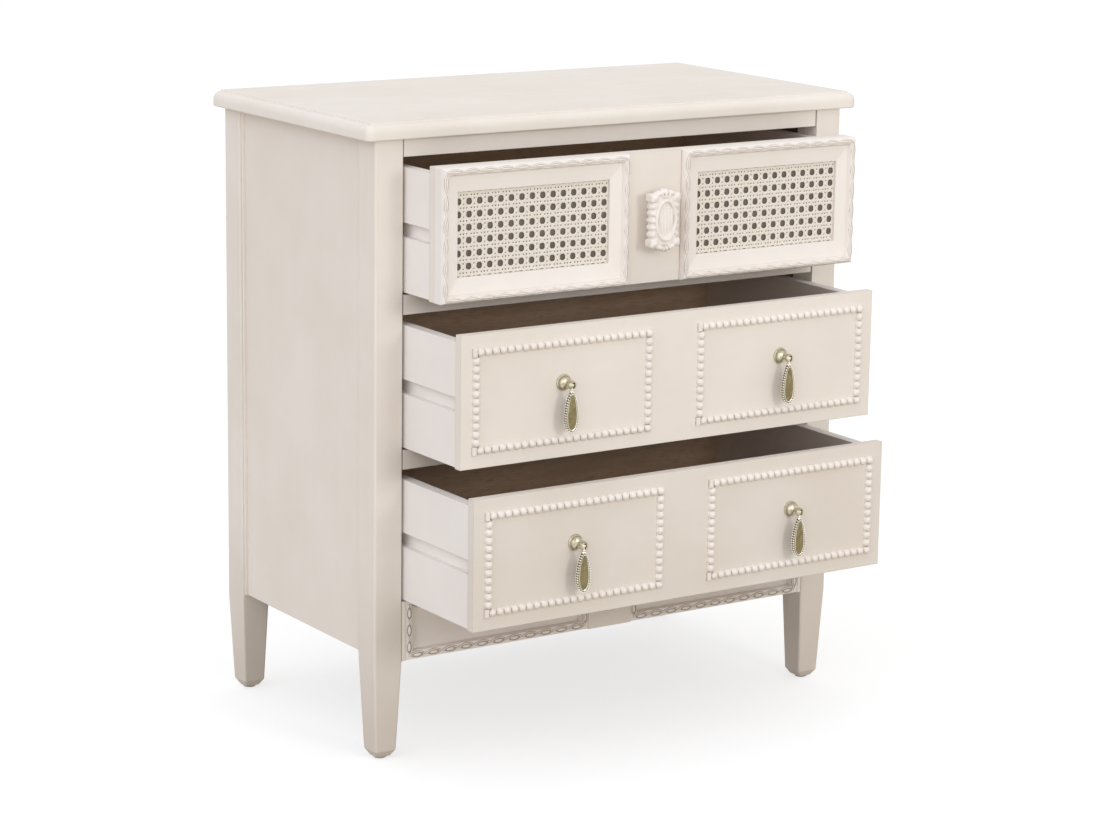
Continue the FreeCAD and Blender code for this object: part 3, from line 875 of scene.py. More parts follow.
@dataclass(frozen=True)
class PaintedCane(Finish):
    """Split cane under thin ivory paint."""

    name: str = "painted_cane"
    light: Colour = (0.905, 0.855, 0.805)
    dark: Colour = (0.830, 0.770, 0.710)
    # Painted shade: this dark colour darkens the gaps between the strands, by occlusion.
    shade_tone: Colour = (0.330, 0.260, 0.190)
    clouds: float = 70.0
    fibres: float = 900.0
    reach: float = 2.0 * MM
    shade_share: float = 0.12
    rough: Span = (0.42, 0.58)
    relief: Span = (0.2, 0.3 * MM)

    def paint(self, graph: Graph, shader: bpy.types.Node) -> None:
        """Wire fibres, uneven paint and painted shade between the strands.

        Args:
            graph: The material's graph.
            shader: The material's shader.
        """
        cloud = Effect.MOTTLE.use(graph, Light=self.light, Dark=self.dark, Scale=self.clouds)[0]
        # Painted shade between the strands, from ambient occlusion.
        mask = Effect.HOLLOW.use(graph, Reach=self.reach)[0]
        fibre = Effect.GRAIN.use(graph, Stretch=(1.0, 1.0, 1.0), Scale=self.fibres)["Streak"]
        colour = graph.mix(graph.part(mask, self.shade_share), cloud, self.shade_tone)
        graph.surface(shader, colour, graph.span(fibre, NOISE, self.rough), fibre, self.relief)


@dataclass(frozen=True)
class Metal(Finish):
    """A metal with tarnish in its hollows and a rubbed shine."""

    name: str = "aged_brass"
    bright: Colour = (0.625, 0.570, 0.430)
    tarnish: Colour = (0.215, 0.175, 0.095)
    rough: Span = (0.26, 0.46)
    spread: Span = (0.42, 0.72)
    reach: float = 2.5 * MM
    spots: float = 190.0
    spot_tone: float = 0.7
    scratches: float = 700.0
    relief: Span = (0.08, 0.2 * MM)

    def paint(self, graph: Graph, shader: bpy.types.Node) -> None:
        """Wire tarnish, dull spots and fine scratches.

        Args:
            graph: The material's graph.
            shader: The material's shader.
        """
        spots = graph.noise(graph.place(), self.spots, detail=6.0, rough=0.62)
        mask = Effect.HOLLOW.use(graph, Reach=self.reach)[0]
        dull = graph.reckon("MAXIMUM", graph.part(graph.span(spots, self.spread), self.spot_tone), mask)
        scratch = Effect.GRAIN.use(graph, Stretch=(1.0, 1.0, 0.2), Scale=self.scratches)["Streak"]
        graph.surface(shader, graph.mix(dull, self.bright, self.tarnish),
                      graph.span(spots, NOISE, self.rough), scratch, self.relief)
        graph.plug(shader.inputs["Metallic"], 1.0)


@dataclass(frozen=True)
class Felt(Finish):
    """Pale felt under the feet."""

    name: str = "pale_felt"
    light: Colour = (0.560, 0.490, 0.455)
    dark: Colour = (0.430, 0.360, 0.330)
    clouds: float = 260.0
    hairs: float = 2400.0
    rough: Span = (0.85, 1.0)
    relief: Span = (0.4, 0.5 * MM)

    def paint(self, graph: Graph, shader: bpy.types.Node) -> None:
        """Wire a matted, uneven nap.

        Args:
            graph: The material's graph.
            shader: The material's shader.
        """
        cloud = Effect.MOTTLE.use(graph, Light=self.light, Dark=self.dark, Scale=self.clouds)[0]
        nap = graph.noise(graph.place(), self.hairs, detail=3.0)
        graph.surface(shader, cloud, graph.span(nap, NOISE, self.rough), nap, self.relief)


class Palette:
    """The finishes by what they are put on."""

    BOARD = ((0.865, 0.820, 0.780), (0.815, 0.765, 0.720))
    WHITER = ((0.865, 0.812, 0.765), (0.820, 0.758, 0.700))
    FROM_LEFT, FROM_RIGHT, FROM_FRONT, FROM_BACK = (1, 0, 0), (-1, 0, 0), (0, 1, 0), (0, -1, 0)

    ACROSS = IvoryPaint("ivory_paint_across", Axis.X, (0.832, 0.776, 0.708), (0.782, 0.718, 0.642))
    # Painted shade: the posts darken toward the floor.
    UPRIGHT = IvoryPaint("ivory_paint_upright", Axis.Z, floor_shade=0.34)
    # Painted shade: the carved, frame, deep, apron, bead and knob paints darken in their hollows and
    # recesses by occlusion.
    CARVED = IvoryPaint("ivory_paint_carved", Axis.X, *WHITER, edge=0.5 * MM, hollow=3.0 * MM)
    FRAME = IvoryPaint("ivory_paint_frame", Axis.X, *WHITER, edge=0.8 * MM, hollow=6.0 * MM, shade_share=0.16)
    DEEP = IvoryPaint("ivory_paint_deep", Axis.X, edge=1.0 * MM, hollow=8.0 * MM, shade_share=0.20)
    LOW_BOARD = IvoryPaint("ivory_paint_low_board", Axis.X, *WHITER, inner=FROM_FRONT)
    APRON = IvoryPaint("ivory_paint_apron", Axis.X, *WHITER, edge=0.4 * MM, hollow=3.0 * MM, shade_share=0.80)
    BEAD = IvoryPaint("ivory_paint_bead", Axis.X, (0.845, 0.787, 0.730), (0.795, 0.730, 0.665),
                      edge=0.5 * MM, hollow=3.5 * MM, shade_share=0.75)
    KNOB = IvoryPaint("ivory_paint_knob", Axis.X, *WHITER, edge=0.4 * MM, hollow=3.0 * MM, shade_share=0.26)
    # Umber glaze on the carved outlines, which also paints the shade along the carved lines.
    GLAZE_AND_SHADE = IvoryPaint("umber_glaze_and_shade", Axis.X, (0.600, 0.520, 0.440), (0.510, 0.435, 0.360), edge=0.2 * MM)
    DARK_GLAZE_AND_SHADE = IvoryPaint("dark_umber_glaze_and_shade", Axis.X, (0.440, 0.365, 0.280), (0.360, 0.295, 0.220),
                            edge=0.2 * MM)
    FRONT = IvoryPaint("ivory_paint_front", Axis.X, inner=FROM_FRONT)
    # Painted shade: a darker copy of the front paint for the lowest drawer.
    SHADED_LOW_FRONT = IvoryPaint("ivory_paint_low_front_shaded", Axis.X, (0.755, 0.690, 0.625), (0.710, 0.640, 0.565),
                           inner=FROM_FRONT)
    LEFT_SIDE = IvoryPaint("ivory_paint_left_board", Axis.Y, *BOARD, edge=0.5 * MM, inner=FROM_LEFT,
                           bare=0.34)
    RIGHT_SIDE = IvoryPaint("ivory_paint_right_board", Axis.Y, *BOARD, edge=0.5 * MM, inner=FROM_RIGHT,
                            bare=0.34)
    # Painted shade: the divider rails darken under and between the drawers, by occlusion over 60 mm.
    DIVIDER = IvoryPaint("ivory_paint_divider", Axis.X, hollow=60.0 * MM, shade_share=0.42, inner=FROM_FRONT)
    LEFT_PANEL = IvoryPaint("ivory_paint_left_panel", Axis.Z, inner=FROM_LEFT)
    RIGHT_PANEL = IvoryPaint("ivory_paint_right_panel", Axis.Z, inner=FROM_RIGHT)
    BACK = IvoryPaint("ivory_paint_back", Axis.Z, inner=FROM_BACK)
    BROWN_X = BrownWood("brown_stain_x", Axis.X)
    BROWN_Y = BrownWood("brown_stain_y", Axis.Y)
    BACKING = BrownWood("dark_backing", Axis.X, (0.155, 0.124, 0.098), (0.115, 0.090, 0.070))
    CANE = PaintedCane()
    BRASS = Metal()
    RIM = Metal("rubbed_brass", (0.880, 0.835, 0.725), (0.170, 0.135, 0.075), (0.24, 0.42), (0.60, 0.90),
                1.6 * MM)
    TARNISH = Metal("tarnished_brass", (0.160, 0.130, 0.075), (0.060, 0.045, 0.025), (0.40, 0.58))
    FIELD = Metal("dark_brass", (0.285, 0.235, 0.125), (0.165, 0.130, 0.065), (0.52, 0.66), (0.35, 0.7))
    STEEL = Metal("plain_steel", (0.560, 0.560, 0.570), (0.260, 0.250, 0.240), (0.30, 0.45))
    FELT = Felt()


def dress(finishes: dict[str, Finish]) -> None:
    """Put finishes on the solids that stay in sight.

    Args:
        finishes: A finish for each solid, by name.
    """
    for node, finish in finishes.items():
        finish.on(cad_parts[node])
        LOG.info("%s finished as %s", node, finish.name)


@dataclass
class Carcass:
    """The standing part: top board, posts, panels, rails and pads."""

    corner: float = 10.0 * MM
    edge_height: float = 8.2 * MM
    nose_in: float = 7.6 * MM
    nose_up: float = 10.8 * MM
    nose_steps: int = 5
    ledge: float = 1.6 * MM
    right_reach: float = 6.0 * MM
    under: float = 2.0 * MM
    soft: float = 0.7 * MM
    soft_past: float = math.radians(25)
    arris: float = 3.0 * MM
    joint_gap: float = 1.8 * MM
    joint_depth: float = 45.0 * MM
    rebate_play: float = 0.2 * MM
    bead: float = 4.2 * MM
    bead_round: float = 0.48
    leg_top: float = 125.6 * MM
    tip_top: float = 11.0 * MM
    foot_share: float = 15.25 / 20.25
    tip_share: float = 10.25 / 15.25
    pad_radius: float = 8.0 * MM
    pad_profile: tuple[Span, ...] = ((0.9, 0), (1.0, 0.25), (1.0, 0.8), (0.92, 1.0))
    pad_sides: int = 28

    def top_board(self) -> None:
        """Shape the top board: round corners, an upright edge, a full round nose and a small step."""
        low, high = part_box("top_slab")
        upper = low.z + self.edge_height
        board = Bench.block("top_board", low, Vector((high.x + self.right_reach, high.y, upper)))
        Bench.round_edges(board, Pick.upright, self.corner, 8)
        arc = [QUARTER * step / self.nose_steps for step in range(self.nose_steps + 1)]
        with Bench.editing(board, "FACE", lambda face: face.normal.z > SQUARE_ON):
            for start, end in pairwise(arc):
                bpy.ops.mesh.inset(thickness=self.nose_in * (math.cos(start) - math.cos(end)),
                                   depth=self.nose_up * (math.sin(end) - math.sin(start)))
            bpy.ops.mesh.inset(thickness=self.ledge, depth=0)
            Bench.pull(0, 0, high.z - upper - self.nose_up)
        lowest = low.z + 0.1 * MM
        Bench.round_edges(board, lambda edge: all(vert.co.z < lowest for vert in edge.verts),
                          self.under, 4)
        Bench.modify(board, "BEVEL", width=self.soft, segments=3, limit_method="ANGLE",
                     angle_limit=self.soft_past)
        Bench.smooth(board, 28, board=True)
        Bench.fit(Palette.ACROSS.on(board), Body.CARCASS.value, Slot.IVORY, "top_slab")

    def joint_line(self, post: Piece, low: Vector, high: Vector) -> None:
        """Cut the open joint line where the rails and drawers meet a front post.

        Args:
            post: The post.
            low: Lowest corner of the post.
            high: Highest corner of the post.
        """
        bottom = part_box("apron_board")[1].z
        inner = high.x if high.x < 0 else low.x
        outward = math.copysign(1, inner)
        left, right = sorted((inner - outward * MM, inner + outward * self.joint_gap))
        Bench.cut(post, Vector((left, low.y - MM, bottom)),
                  Vector((right, low.y + self.joint_depth, high.z + MM)))

    def rebate(self, post: Piece) -> None:
        """Cut the rebate that the back panel sits in.

        Args:
            post: A rear post.
        """
        low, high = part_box("back_panel")
        play = self.rebate_play
        Bench.cut(post, low - Vector((play, play, MM)), high + Vector((play, MM, MM)))

    def post(self, node: str) -> None:
        """Shape a square post whose foot is drawn down to a narrow tip.

        Args:
            node: The solid that the post stands in for.
        """
        low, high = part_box(node)
        middle = (low + high) / 2
        post = Bench.block(f"{node}_shaped", Vector((low.x, low.y, self.leg_top)), high)
        levels = ((self.leg_top, self.tip_top, self.foot_share), (self.tip_top, low.z, self.tip_share))
        with Bench.editing(post, "FACE", lambda face: face.normal.z < -SQUARE_ON):
            for start, end, share in levels:
                Bench.pull(0, 0, end - start)
                bpy.ops.transform.resize(value=(share, share, 1), center_override=middle)
        inward = -math.copysign(1, middle.x)
        Bench.round_edges(post, lambda edge: Pick.upright(edge)
                          and ((edge.verts[0].co.x - middle.x) * inward < 0
                               or edge.verts[0].co.y < middle.y), self.arris, 5)
        if node.startswith("front"):
            self.joint_line(post, low, high)
        else:
            self.rebate(post)
        Bench.smooth(post, 25, board=True)
        Bench.fit(Palette.UPRIGHT.on(post), Body.CARCASS.value, Slot.IVORY, node)

    def panel_beads(self, hand: Hand) -> None:
        """Run a small rounded bead down each upright edge of a side panel.

        Args:
            hand: The side of the chest.
        """
        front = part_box("front_left_post")[1].y
        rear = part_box("rear_left_post")[0].y
        low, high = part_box(f"{hand.value}_side_panel")
        way = hand.outward
        face = low.x if hand is Hand.LEFT else high.x
        left, right = sorted((face - way * MM, face + way * self.bead))
        strips = []
        for start, end in ((front, front + self.bead), (rear - self.bead, rear)):
            strip = Bench.block("bead", Vector((left, start, low.z)), Vector((right, end, high.z)))
            Bench.round_edges(strip, lambda edge: Pick.upright(edge)
                              and all((vert.co.x - face) * way > self.bead / 2 for vert in edge.verts),
                              self.bead * self.bead_round, 5)
            strips.append(strip)
        beads = Bench.smooth(Bench.join(strips, f"{hand.value}_panel_beads"), 35)
        Bench.fit(Palette.UPRIGHT.on(beads), Body.CARCASS.value, Slot.IVORY)

    def pads(self) -> None:
        """Turn one soft pad and set it under each foot."""
        low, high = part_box("foot_glides")
        radius = self.pad_radius
        rise = high.z - low.z
        master = Bench.turn("pad", [(radius * wide, rise * up) for wide, up in self.pad_profile],
                            self.pad_sides)
        stand = Matrix.Rotation(-QUARTER, 4, "X")
        places = [at(x, y, low.z) @ stand for x in (low.x + radius, high.x - radius)
                  for y in (low.y + radius, high.y - radius)]
        pads = Bench.smooth(Bench.copies(master, places, "felt_pads"), 40)
        Bench.fit(Palette.FELT.on(pads), Body.CARCASS.value, Slot.PAD, "foot_glides")

    def build(self) -> None:
        """Shape the new pieces and finish the boards."""
        self.top_board()
        for node in ("front_left_post", "front_right_post", "rear_left_post", "rear_right_post"):
            self.post(node)
        for hand in Hand:
            self.panel_beads(hand)
        self.pads()
        dress({"left_side_panel": Palette.LEFT_PANEL, "right_side_panel": Palette.RIGHT_PANEL,
               "back_panel": Palette.BACK, "top_rail": Palette.FRONT,
               "upper_divider_rail": Palette.DIVIDER, "lower_divider_rail": Palette.DIVIDER,
               "apron_board": Palette.LOW_BOARD, "apron_block": Palette.DEEP,
               "rear_top_rail": Palette.BROWN_X, "rear_bottom_rail": Palette.BROWN_X,
               "left_runners": Palette.BROWN_Y, "right_runners": Palette.BROWN_Y,
               "runner_screws": Palette.STEEL, "top_screws": Palette.STEEL})


@dataclass(frozen=True)
class CarvedChain:
    """The carved chain of crossing ribbons with an oval bud in each loop."""

    pitch: float = 24.5 * MM
    half_width: float = 2.5 * MM
    ribbon: float = 0.6 * MM
    bud: Sizes = mm(6.2, 1.4, 1.2)
    line: float = 0.6 * MM
    paint: Finish = Palette.CARVED
    glaze_and_shade: Finish = Palette.GLAZE_AND_SHADE
    oval: Sizes | None = None
    crown: float = 0.0
    proud: float = 0.5 * MM
    line_depth: float = 0.3

    def motif(self) -> Piece:
        """Carve one loop of the chain.

        Returns:
            The master motif, along X, at the origin.
        """
        parts = [self.paint.on(Bench.lump("bud", ORIGIN, self.bud, 12, 7))]
        for height in (self.half_width, -self.half_width):
            ribbon = Bench.wave("ribbon", self.pitch, height, self.ribbon)
            ribbon.data.transform(at(0, -self.proud, 0))
            # The glaze outlines also paint the shade along each ribbon.
            outline = Bench.wave("outline", self.pitch, height, self.ribbon + self.line)
            outline.data.transform(Matrix.Diagonal((1, self.line_depth, 1, 1)))
            parts += [self.paint.on(ribbon), self.glaze_and_shade.on(outline)]
        # The glaze oval paints the shade around the bud.
        if self.oval:
            parts.append(self.glaze_and_shade.on(Bench.hoop("oval", (0, -self.proud, 0), self.oval, 24, 5)))
        loop = Bench.join(parts, "carved_loop")
        for vert in loop.data.vertices:
            vert.co.y += self.crown * abs(vert.co.z)
        return loop

    def side(self, start: Vector, end: Vector, turn: Matrix) -> list[Matrix]:
        """Space motifs evenly along one side.

        Args:
            start: One end of the side.
            end: The other end.
            turn: Turn that lays the motif along the side.

        Returns:
            A place for each motif.
        """
        length = (end - start).length
        count = max(1, round(length / self.pitch))
        fit = turn @ Matrix.Diagonal((length / count / self.pitch, 1, 1, 1))
        return [Matrix.Translation(start.lerp(end, (index + 0.5) / count)) @ fit
                for index in range(count)]

    def around(self, low: Vector, high: Vector, name: str, tilt: float = 0.0) -> Piece:
        """Carve the chain around all four sides of a frame.

        Args:
            low: Lowest corner of the line that the chain follows; its Y is the level of the carving.
            high: Highest corner of that line.
            name: Name of the carving.
            tilt: Lean of the carving toward the middle of the frame, in radians.

        Returns:
            The carving.
        """
        lean, away = (Matrix.Rotation(angle, 4, "X") for angle in (tilt, -tilt))
        sides = (((low.x, low.z), (high.x, low.z), lean), ((low.x, high.z), (high.x, high.z), away),
                 ((low.x, low.z), (low.x, high.z), ON_END @ lean),
                 ((high.x, low.z), (high.x, high.z), ON_END @ away))
        places = []
        for start, end, turn in sides:
            places += self.side(*(Vector((x, low.y, z)) for x, z in (start, end)), turn)
        return Bench.smooth(Bench.copies(self.motif(), places, name), 60)


@dataclass
class Apron:
    """The carved frames and the rosette of the apron."""

    fillet: float = 5.4 * MM
    strip: float = 10.6 * MM
    sunk: float = 0.5 * MM
    soft: float = 0.9 * MM
    foot_gap: float = 0.6 * MM
    chain: CarvedChain = CarvedChain(24.0 * MM, 3.9 * MM, 0.70 * MM, mm(6.4, 1.7, 2.3), 0.4 * MM,
                                     Palette.APRON, Palette.DARK_GLAZE_AND_SHADE, mm(7.2, 2.9, 0.55))
    tilt: float = math.radians(10)
    flower_sunk: float = 0.6 * MM
    flower_rim: Sizes = mm(12.5, 19.5, 1.6)
    petals: int = 10
    petal_ring: tuple[float, ...] = mm(6.8, 11.0)
    petal: Sizes = mm(2.2, 1.7, 5.4)
    heart: Sizes = mm(3.4, 2.4, 4.6)

    def frame(self, hand: Hand) -> None:
        """Make one frame: a plain fillet beside the post, four strips and the chain carved along them.

        Args:
            hand: The half of the apron.
        """
        node = f"apron_{hand.value}_moulding"
        low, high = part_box(node)
        board_low, board_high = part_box("apron_board")
        post_low, post_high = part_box(f"front_{hand.value}_post")
        outer, inner = (post_high.x, high.x) if hand is Hand.LEFT else (post_low.x, low.x)
        fillet_end = outer - hand.outward * self.fillet
        left, right = sorted((fillet_end, inner))
        bottom, top = board_low.z + self.foot_gap, high.z
        above, below = bottom + self.strip, top - self.strip
        spans = ((*sorted((outer, fillet_end)), board_low.z, board_high.z, 0.0),
                 (left, right, bottom, above, self.sunk), (left, right, below, top, self.sunk),
                 (left, left + self.strip, above, below, self.sunk),
                 (right - self.strip, right, above, below, self.sunk))
        strips = []
        for start, end, under, over, drop in spans:
            strip = Bench.block("strip", Vector((start, low.y + drop, under)), Vector((end, high.y, over)))
            Bench.round_edges(strip, Pick.before(high.y - MM), self.soft, 3)
            strips.append(strip)
        bars = Bench.smooth(Bench.join(strips, f"{node}_strips"), 35)
        Bench.fit(Palette.APRON.on(bars), Body.CARCASS.value, Slot.IVORY, node)
        half = self.strip / 2
        carving = self.chain.around(Vector((left + half, low.y + self.sunk, bottom + half)),
                                    Vector((right - half, 0, top - half)),
                                    f"apron_{hand.value}_carving", self.tilt)
        Bench.fit(carving, Body.CARCASS.value, Slot.IVORY)

    def rosette(self) -> None:
        """Carve the oval flower of the middle block."""
        low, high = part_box("apron_block")
        middle = (low + high) / 2
        middle.y = low.y + self.flower_sunk
        parts = [Bench.hoop("rim", middle, self.flower_rim, 36, 8)]
        wide, tall = self.petal_ring
        for index in range(self.petals):
            angle = 2 * math.pi * index / self.petals
            centre = middle + Vector((wide * math.sin(angle), 0, tall * math.cos(angle)))
            parts.append(Bench.lump("petal", centre, self.petal, 10, 7, angle))
        parts.append(Bench.lump("heart", middle, self.heart, 14, 8))
        rosette = Bench.smooth(Bench.join(parts, "apron_rosette"), 60)
        Bench.fit(Palette.CARVED.on(rosette), Body.CARCASS.value, Slot.IVORY)

    def build(self) -> None:
        """Make both frames and carve the rosette."""
        for hand in Hand:
            self.frame(hand)
        self.rosette()


@dataclass
class DrawerBox:
    """The boards of one drawer."""

    body: Body

    def build(self) -> None:
        """Finish the boards: an ivory front and sides, with brown wood behind and below."""
        name = self.body.value
        # Painted shade: the lowest drawer's front takes the darker copy of the paint.
        face = Palette.SHADED_LOW_FRONT if self.body is Body.LOWER else Palette.FRONT
        dress({f"{name}_front": face, f"{name}_left_side": Palette.LEFT_SIDE,
               f"{name}_right_side": Palette.RIGHT_SIDE, f"{name}_back": Palette.BROWN_X,
               f"{name}_bottom": Palette.BROWN_X})


@dataclass
class WovenCane:
    """Cane woven six ways: upright and level pairs, and two sets of slanting strands."""

    pitch: float = 15.2 * MM
    spread: float = 2.25 * MM
    width: float = 2.95 * MM
    thick: float = 0.6 * MM
    soft: float = 0.35 * MM
    sway: float = 0.31 * MM
    lift: float = 0.55 * MM
    stretch: Span = (0.987, 1.033)
    tall_repeats: int = 10
    wide_repeats: int = 17
    slant_repeats: int = 18
    slants_a_side: int = 13

    @staticmethod
    def front_arris(edge: Any) -> bool:
        """Pick the long front edges of a strand."""
        normals = [face.normal for face in edge.link_faces]
        return (all(normal.y < 0.5 for normal in normals) and any(normal.y < -0.5 for normal in normals)
                and any(abs(normal.x) > 0.5 for normal in normals))

    def strand(self, length: float, knots: Sequence[Span], repeat: int) -> Piece:
        """Bend one strand over and under, and run it on.

        Args:
            length: Length of one repeat.
            knots: (share of the length, height) pairs where the strand is pushed up or down.
            repeat: Number of repeats.

        Returns:
            The strand, upright, centred on the origin.
        """
        half = Vector((self.width, self.thick, length)) / 2
        strip = Bench.block("strand", -half, half)
        bends = [((share - 0.5) * length, height) for share, height in knots]
        for level, _ in bends:
            with Bench.editing(strip, "FACE", Pick.every):
                bpy.ops.mesh.bisect(plane_co=(0, 0, level), plane_no=(0, 0, 1))
        for level, height in bends:
            with Bench.editing(strip, "VERT", lambda vert: abs(vert.co.z - level) < 0.01 * MM):
                bpy.ops.transform.translate(value=(0, -height, 0))
        with Bench.editing(strip, "FACE", lambda face: abs(face.normal.z) > SQUARE_ON):
            bpy.ops.mesh.delete(type="ONLY_FACE")
        Bench.round_edges(strip, self.front_arris, self.soft, 1)
        Bench.modify(strip, "ARRAY", count=repeat, use_relative_offset=False, use_constant_offset=True,
                     constant_offset_displace=(0, 0, length), use_merge_vertices=True,
                     merge_threshold=0.01 * MM)
        strip.data.transform(at(0, 0, -(repeat - 1) / 2 * length))
        return strip

    def pair_places(self, low: float, high: float, first: float) -> list[tuple[float, int]]:
        """List the strands of the pairs across one direction.

        Args:
            low: Lowest edge of the sheet.
            high: Highest edge of the sheet.
            first: Middle of one pair.

        Returns:
            (place, parity) for every strand.
        """
        reach = int((high - low) / self.pitch / 2) + 2
        places = []
        for index in range(-reach, reach):
            for parity, side in ((0, -1), (1, 1)):
                place = first + index * self.pitch + side * self.spread
                if low < place < high:
                    places.append((place, parity))
        return places

    def sheet(self, node: str, middle: Vector) -> Piece:
        """Weave one sheet.

        Args:
            node: The solid that the sheet stands in for.
            middle: Middle of the weave.

        Returns:
            The sheet.
        """
        low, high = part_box(node)
        share = self.spread / self.pitch
        half_pitch = self.pitch / 2
        strands = []
        for parity, way in ((0, 1), (1, -1)):
            knots = ((0.5 - share, way * self.sway), (0.5 + share, -way * self.sway))
            upright = self.strand(self.pitch, knots, self.tall_repeats)
            level = self.strand(self.pitch, [(spot, -height) for spot, height in knots], self.wide_repeats)
            for x, side in self.pair_places(low.x, high.x, middle.x + half_pitch):
                if side == parity:
                    strands.append(Bench.twin(upright, at(x, middle.y, middle.z)))
            for z, side in self.pair_places(low.z, high.z, middle.z):
                if side == parity:
                    strands.append(Bench.twin(level, at(middle.x + half_pitch, middle.y, z) @ ON_END))
            Bench.scrap(upright, level)
        for way in (1, -1):
            knots = ((0.25, way * self.lift), (0.75, -way * self.lift))
            slant = self.strand(self.pitch * math.sqrt(2), knots, self.slant_repeats)
            turn = Matrix.Rotation(way * QUARTER / 2, 4, "Y")
            for index in range(-self.slants_a_side, self.slants_a_side + 1):
                place = middle + Vector((index * self.pitch, 0, 0))
                strands.append(Bench.twin(slant, Matrix.Translation(place) @ turn))
            Bench.scrap(slant)
        sheet = Bench.join(strands, f"{node}_woven")
        wide, tall = self.stretch
        sheet.data.transform(Matrix.Translation(middle) @ Matrix.Diagonal((wide, 1, tall, 1))
                             @ Matrix.Translation(-middle))
        Bench.trim(sheet, low, high, (Axis.X, Axis.Z))
        return Palette.CANE.on(Bench.smooth(sheet, 50))


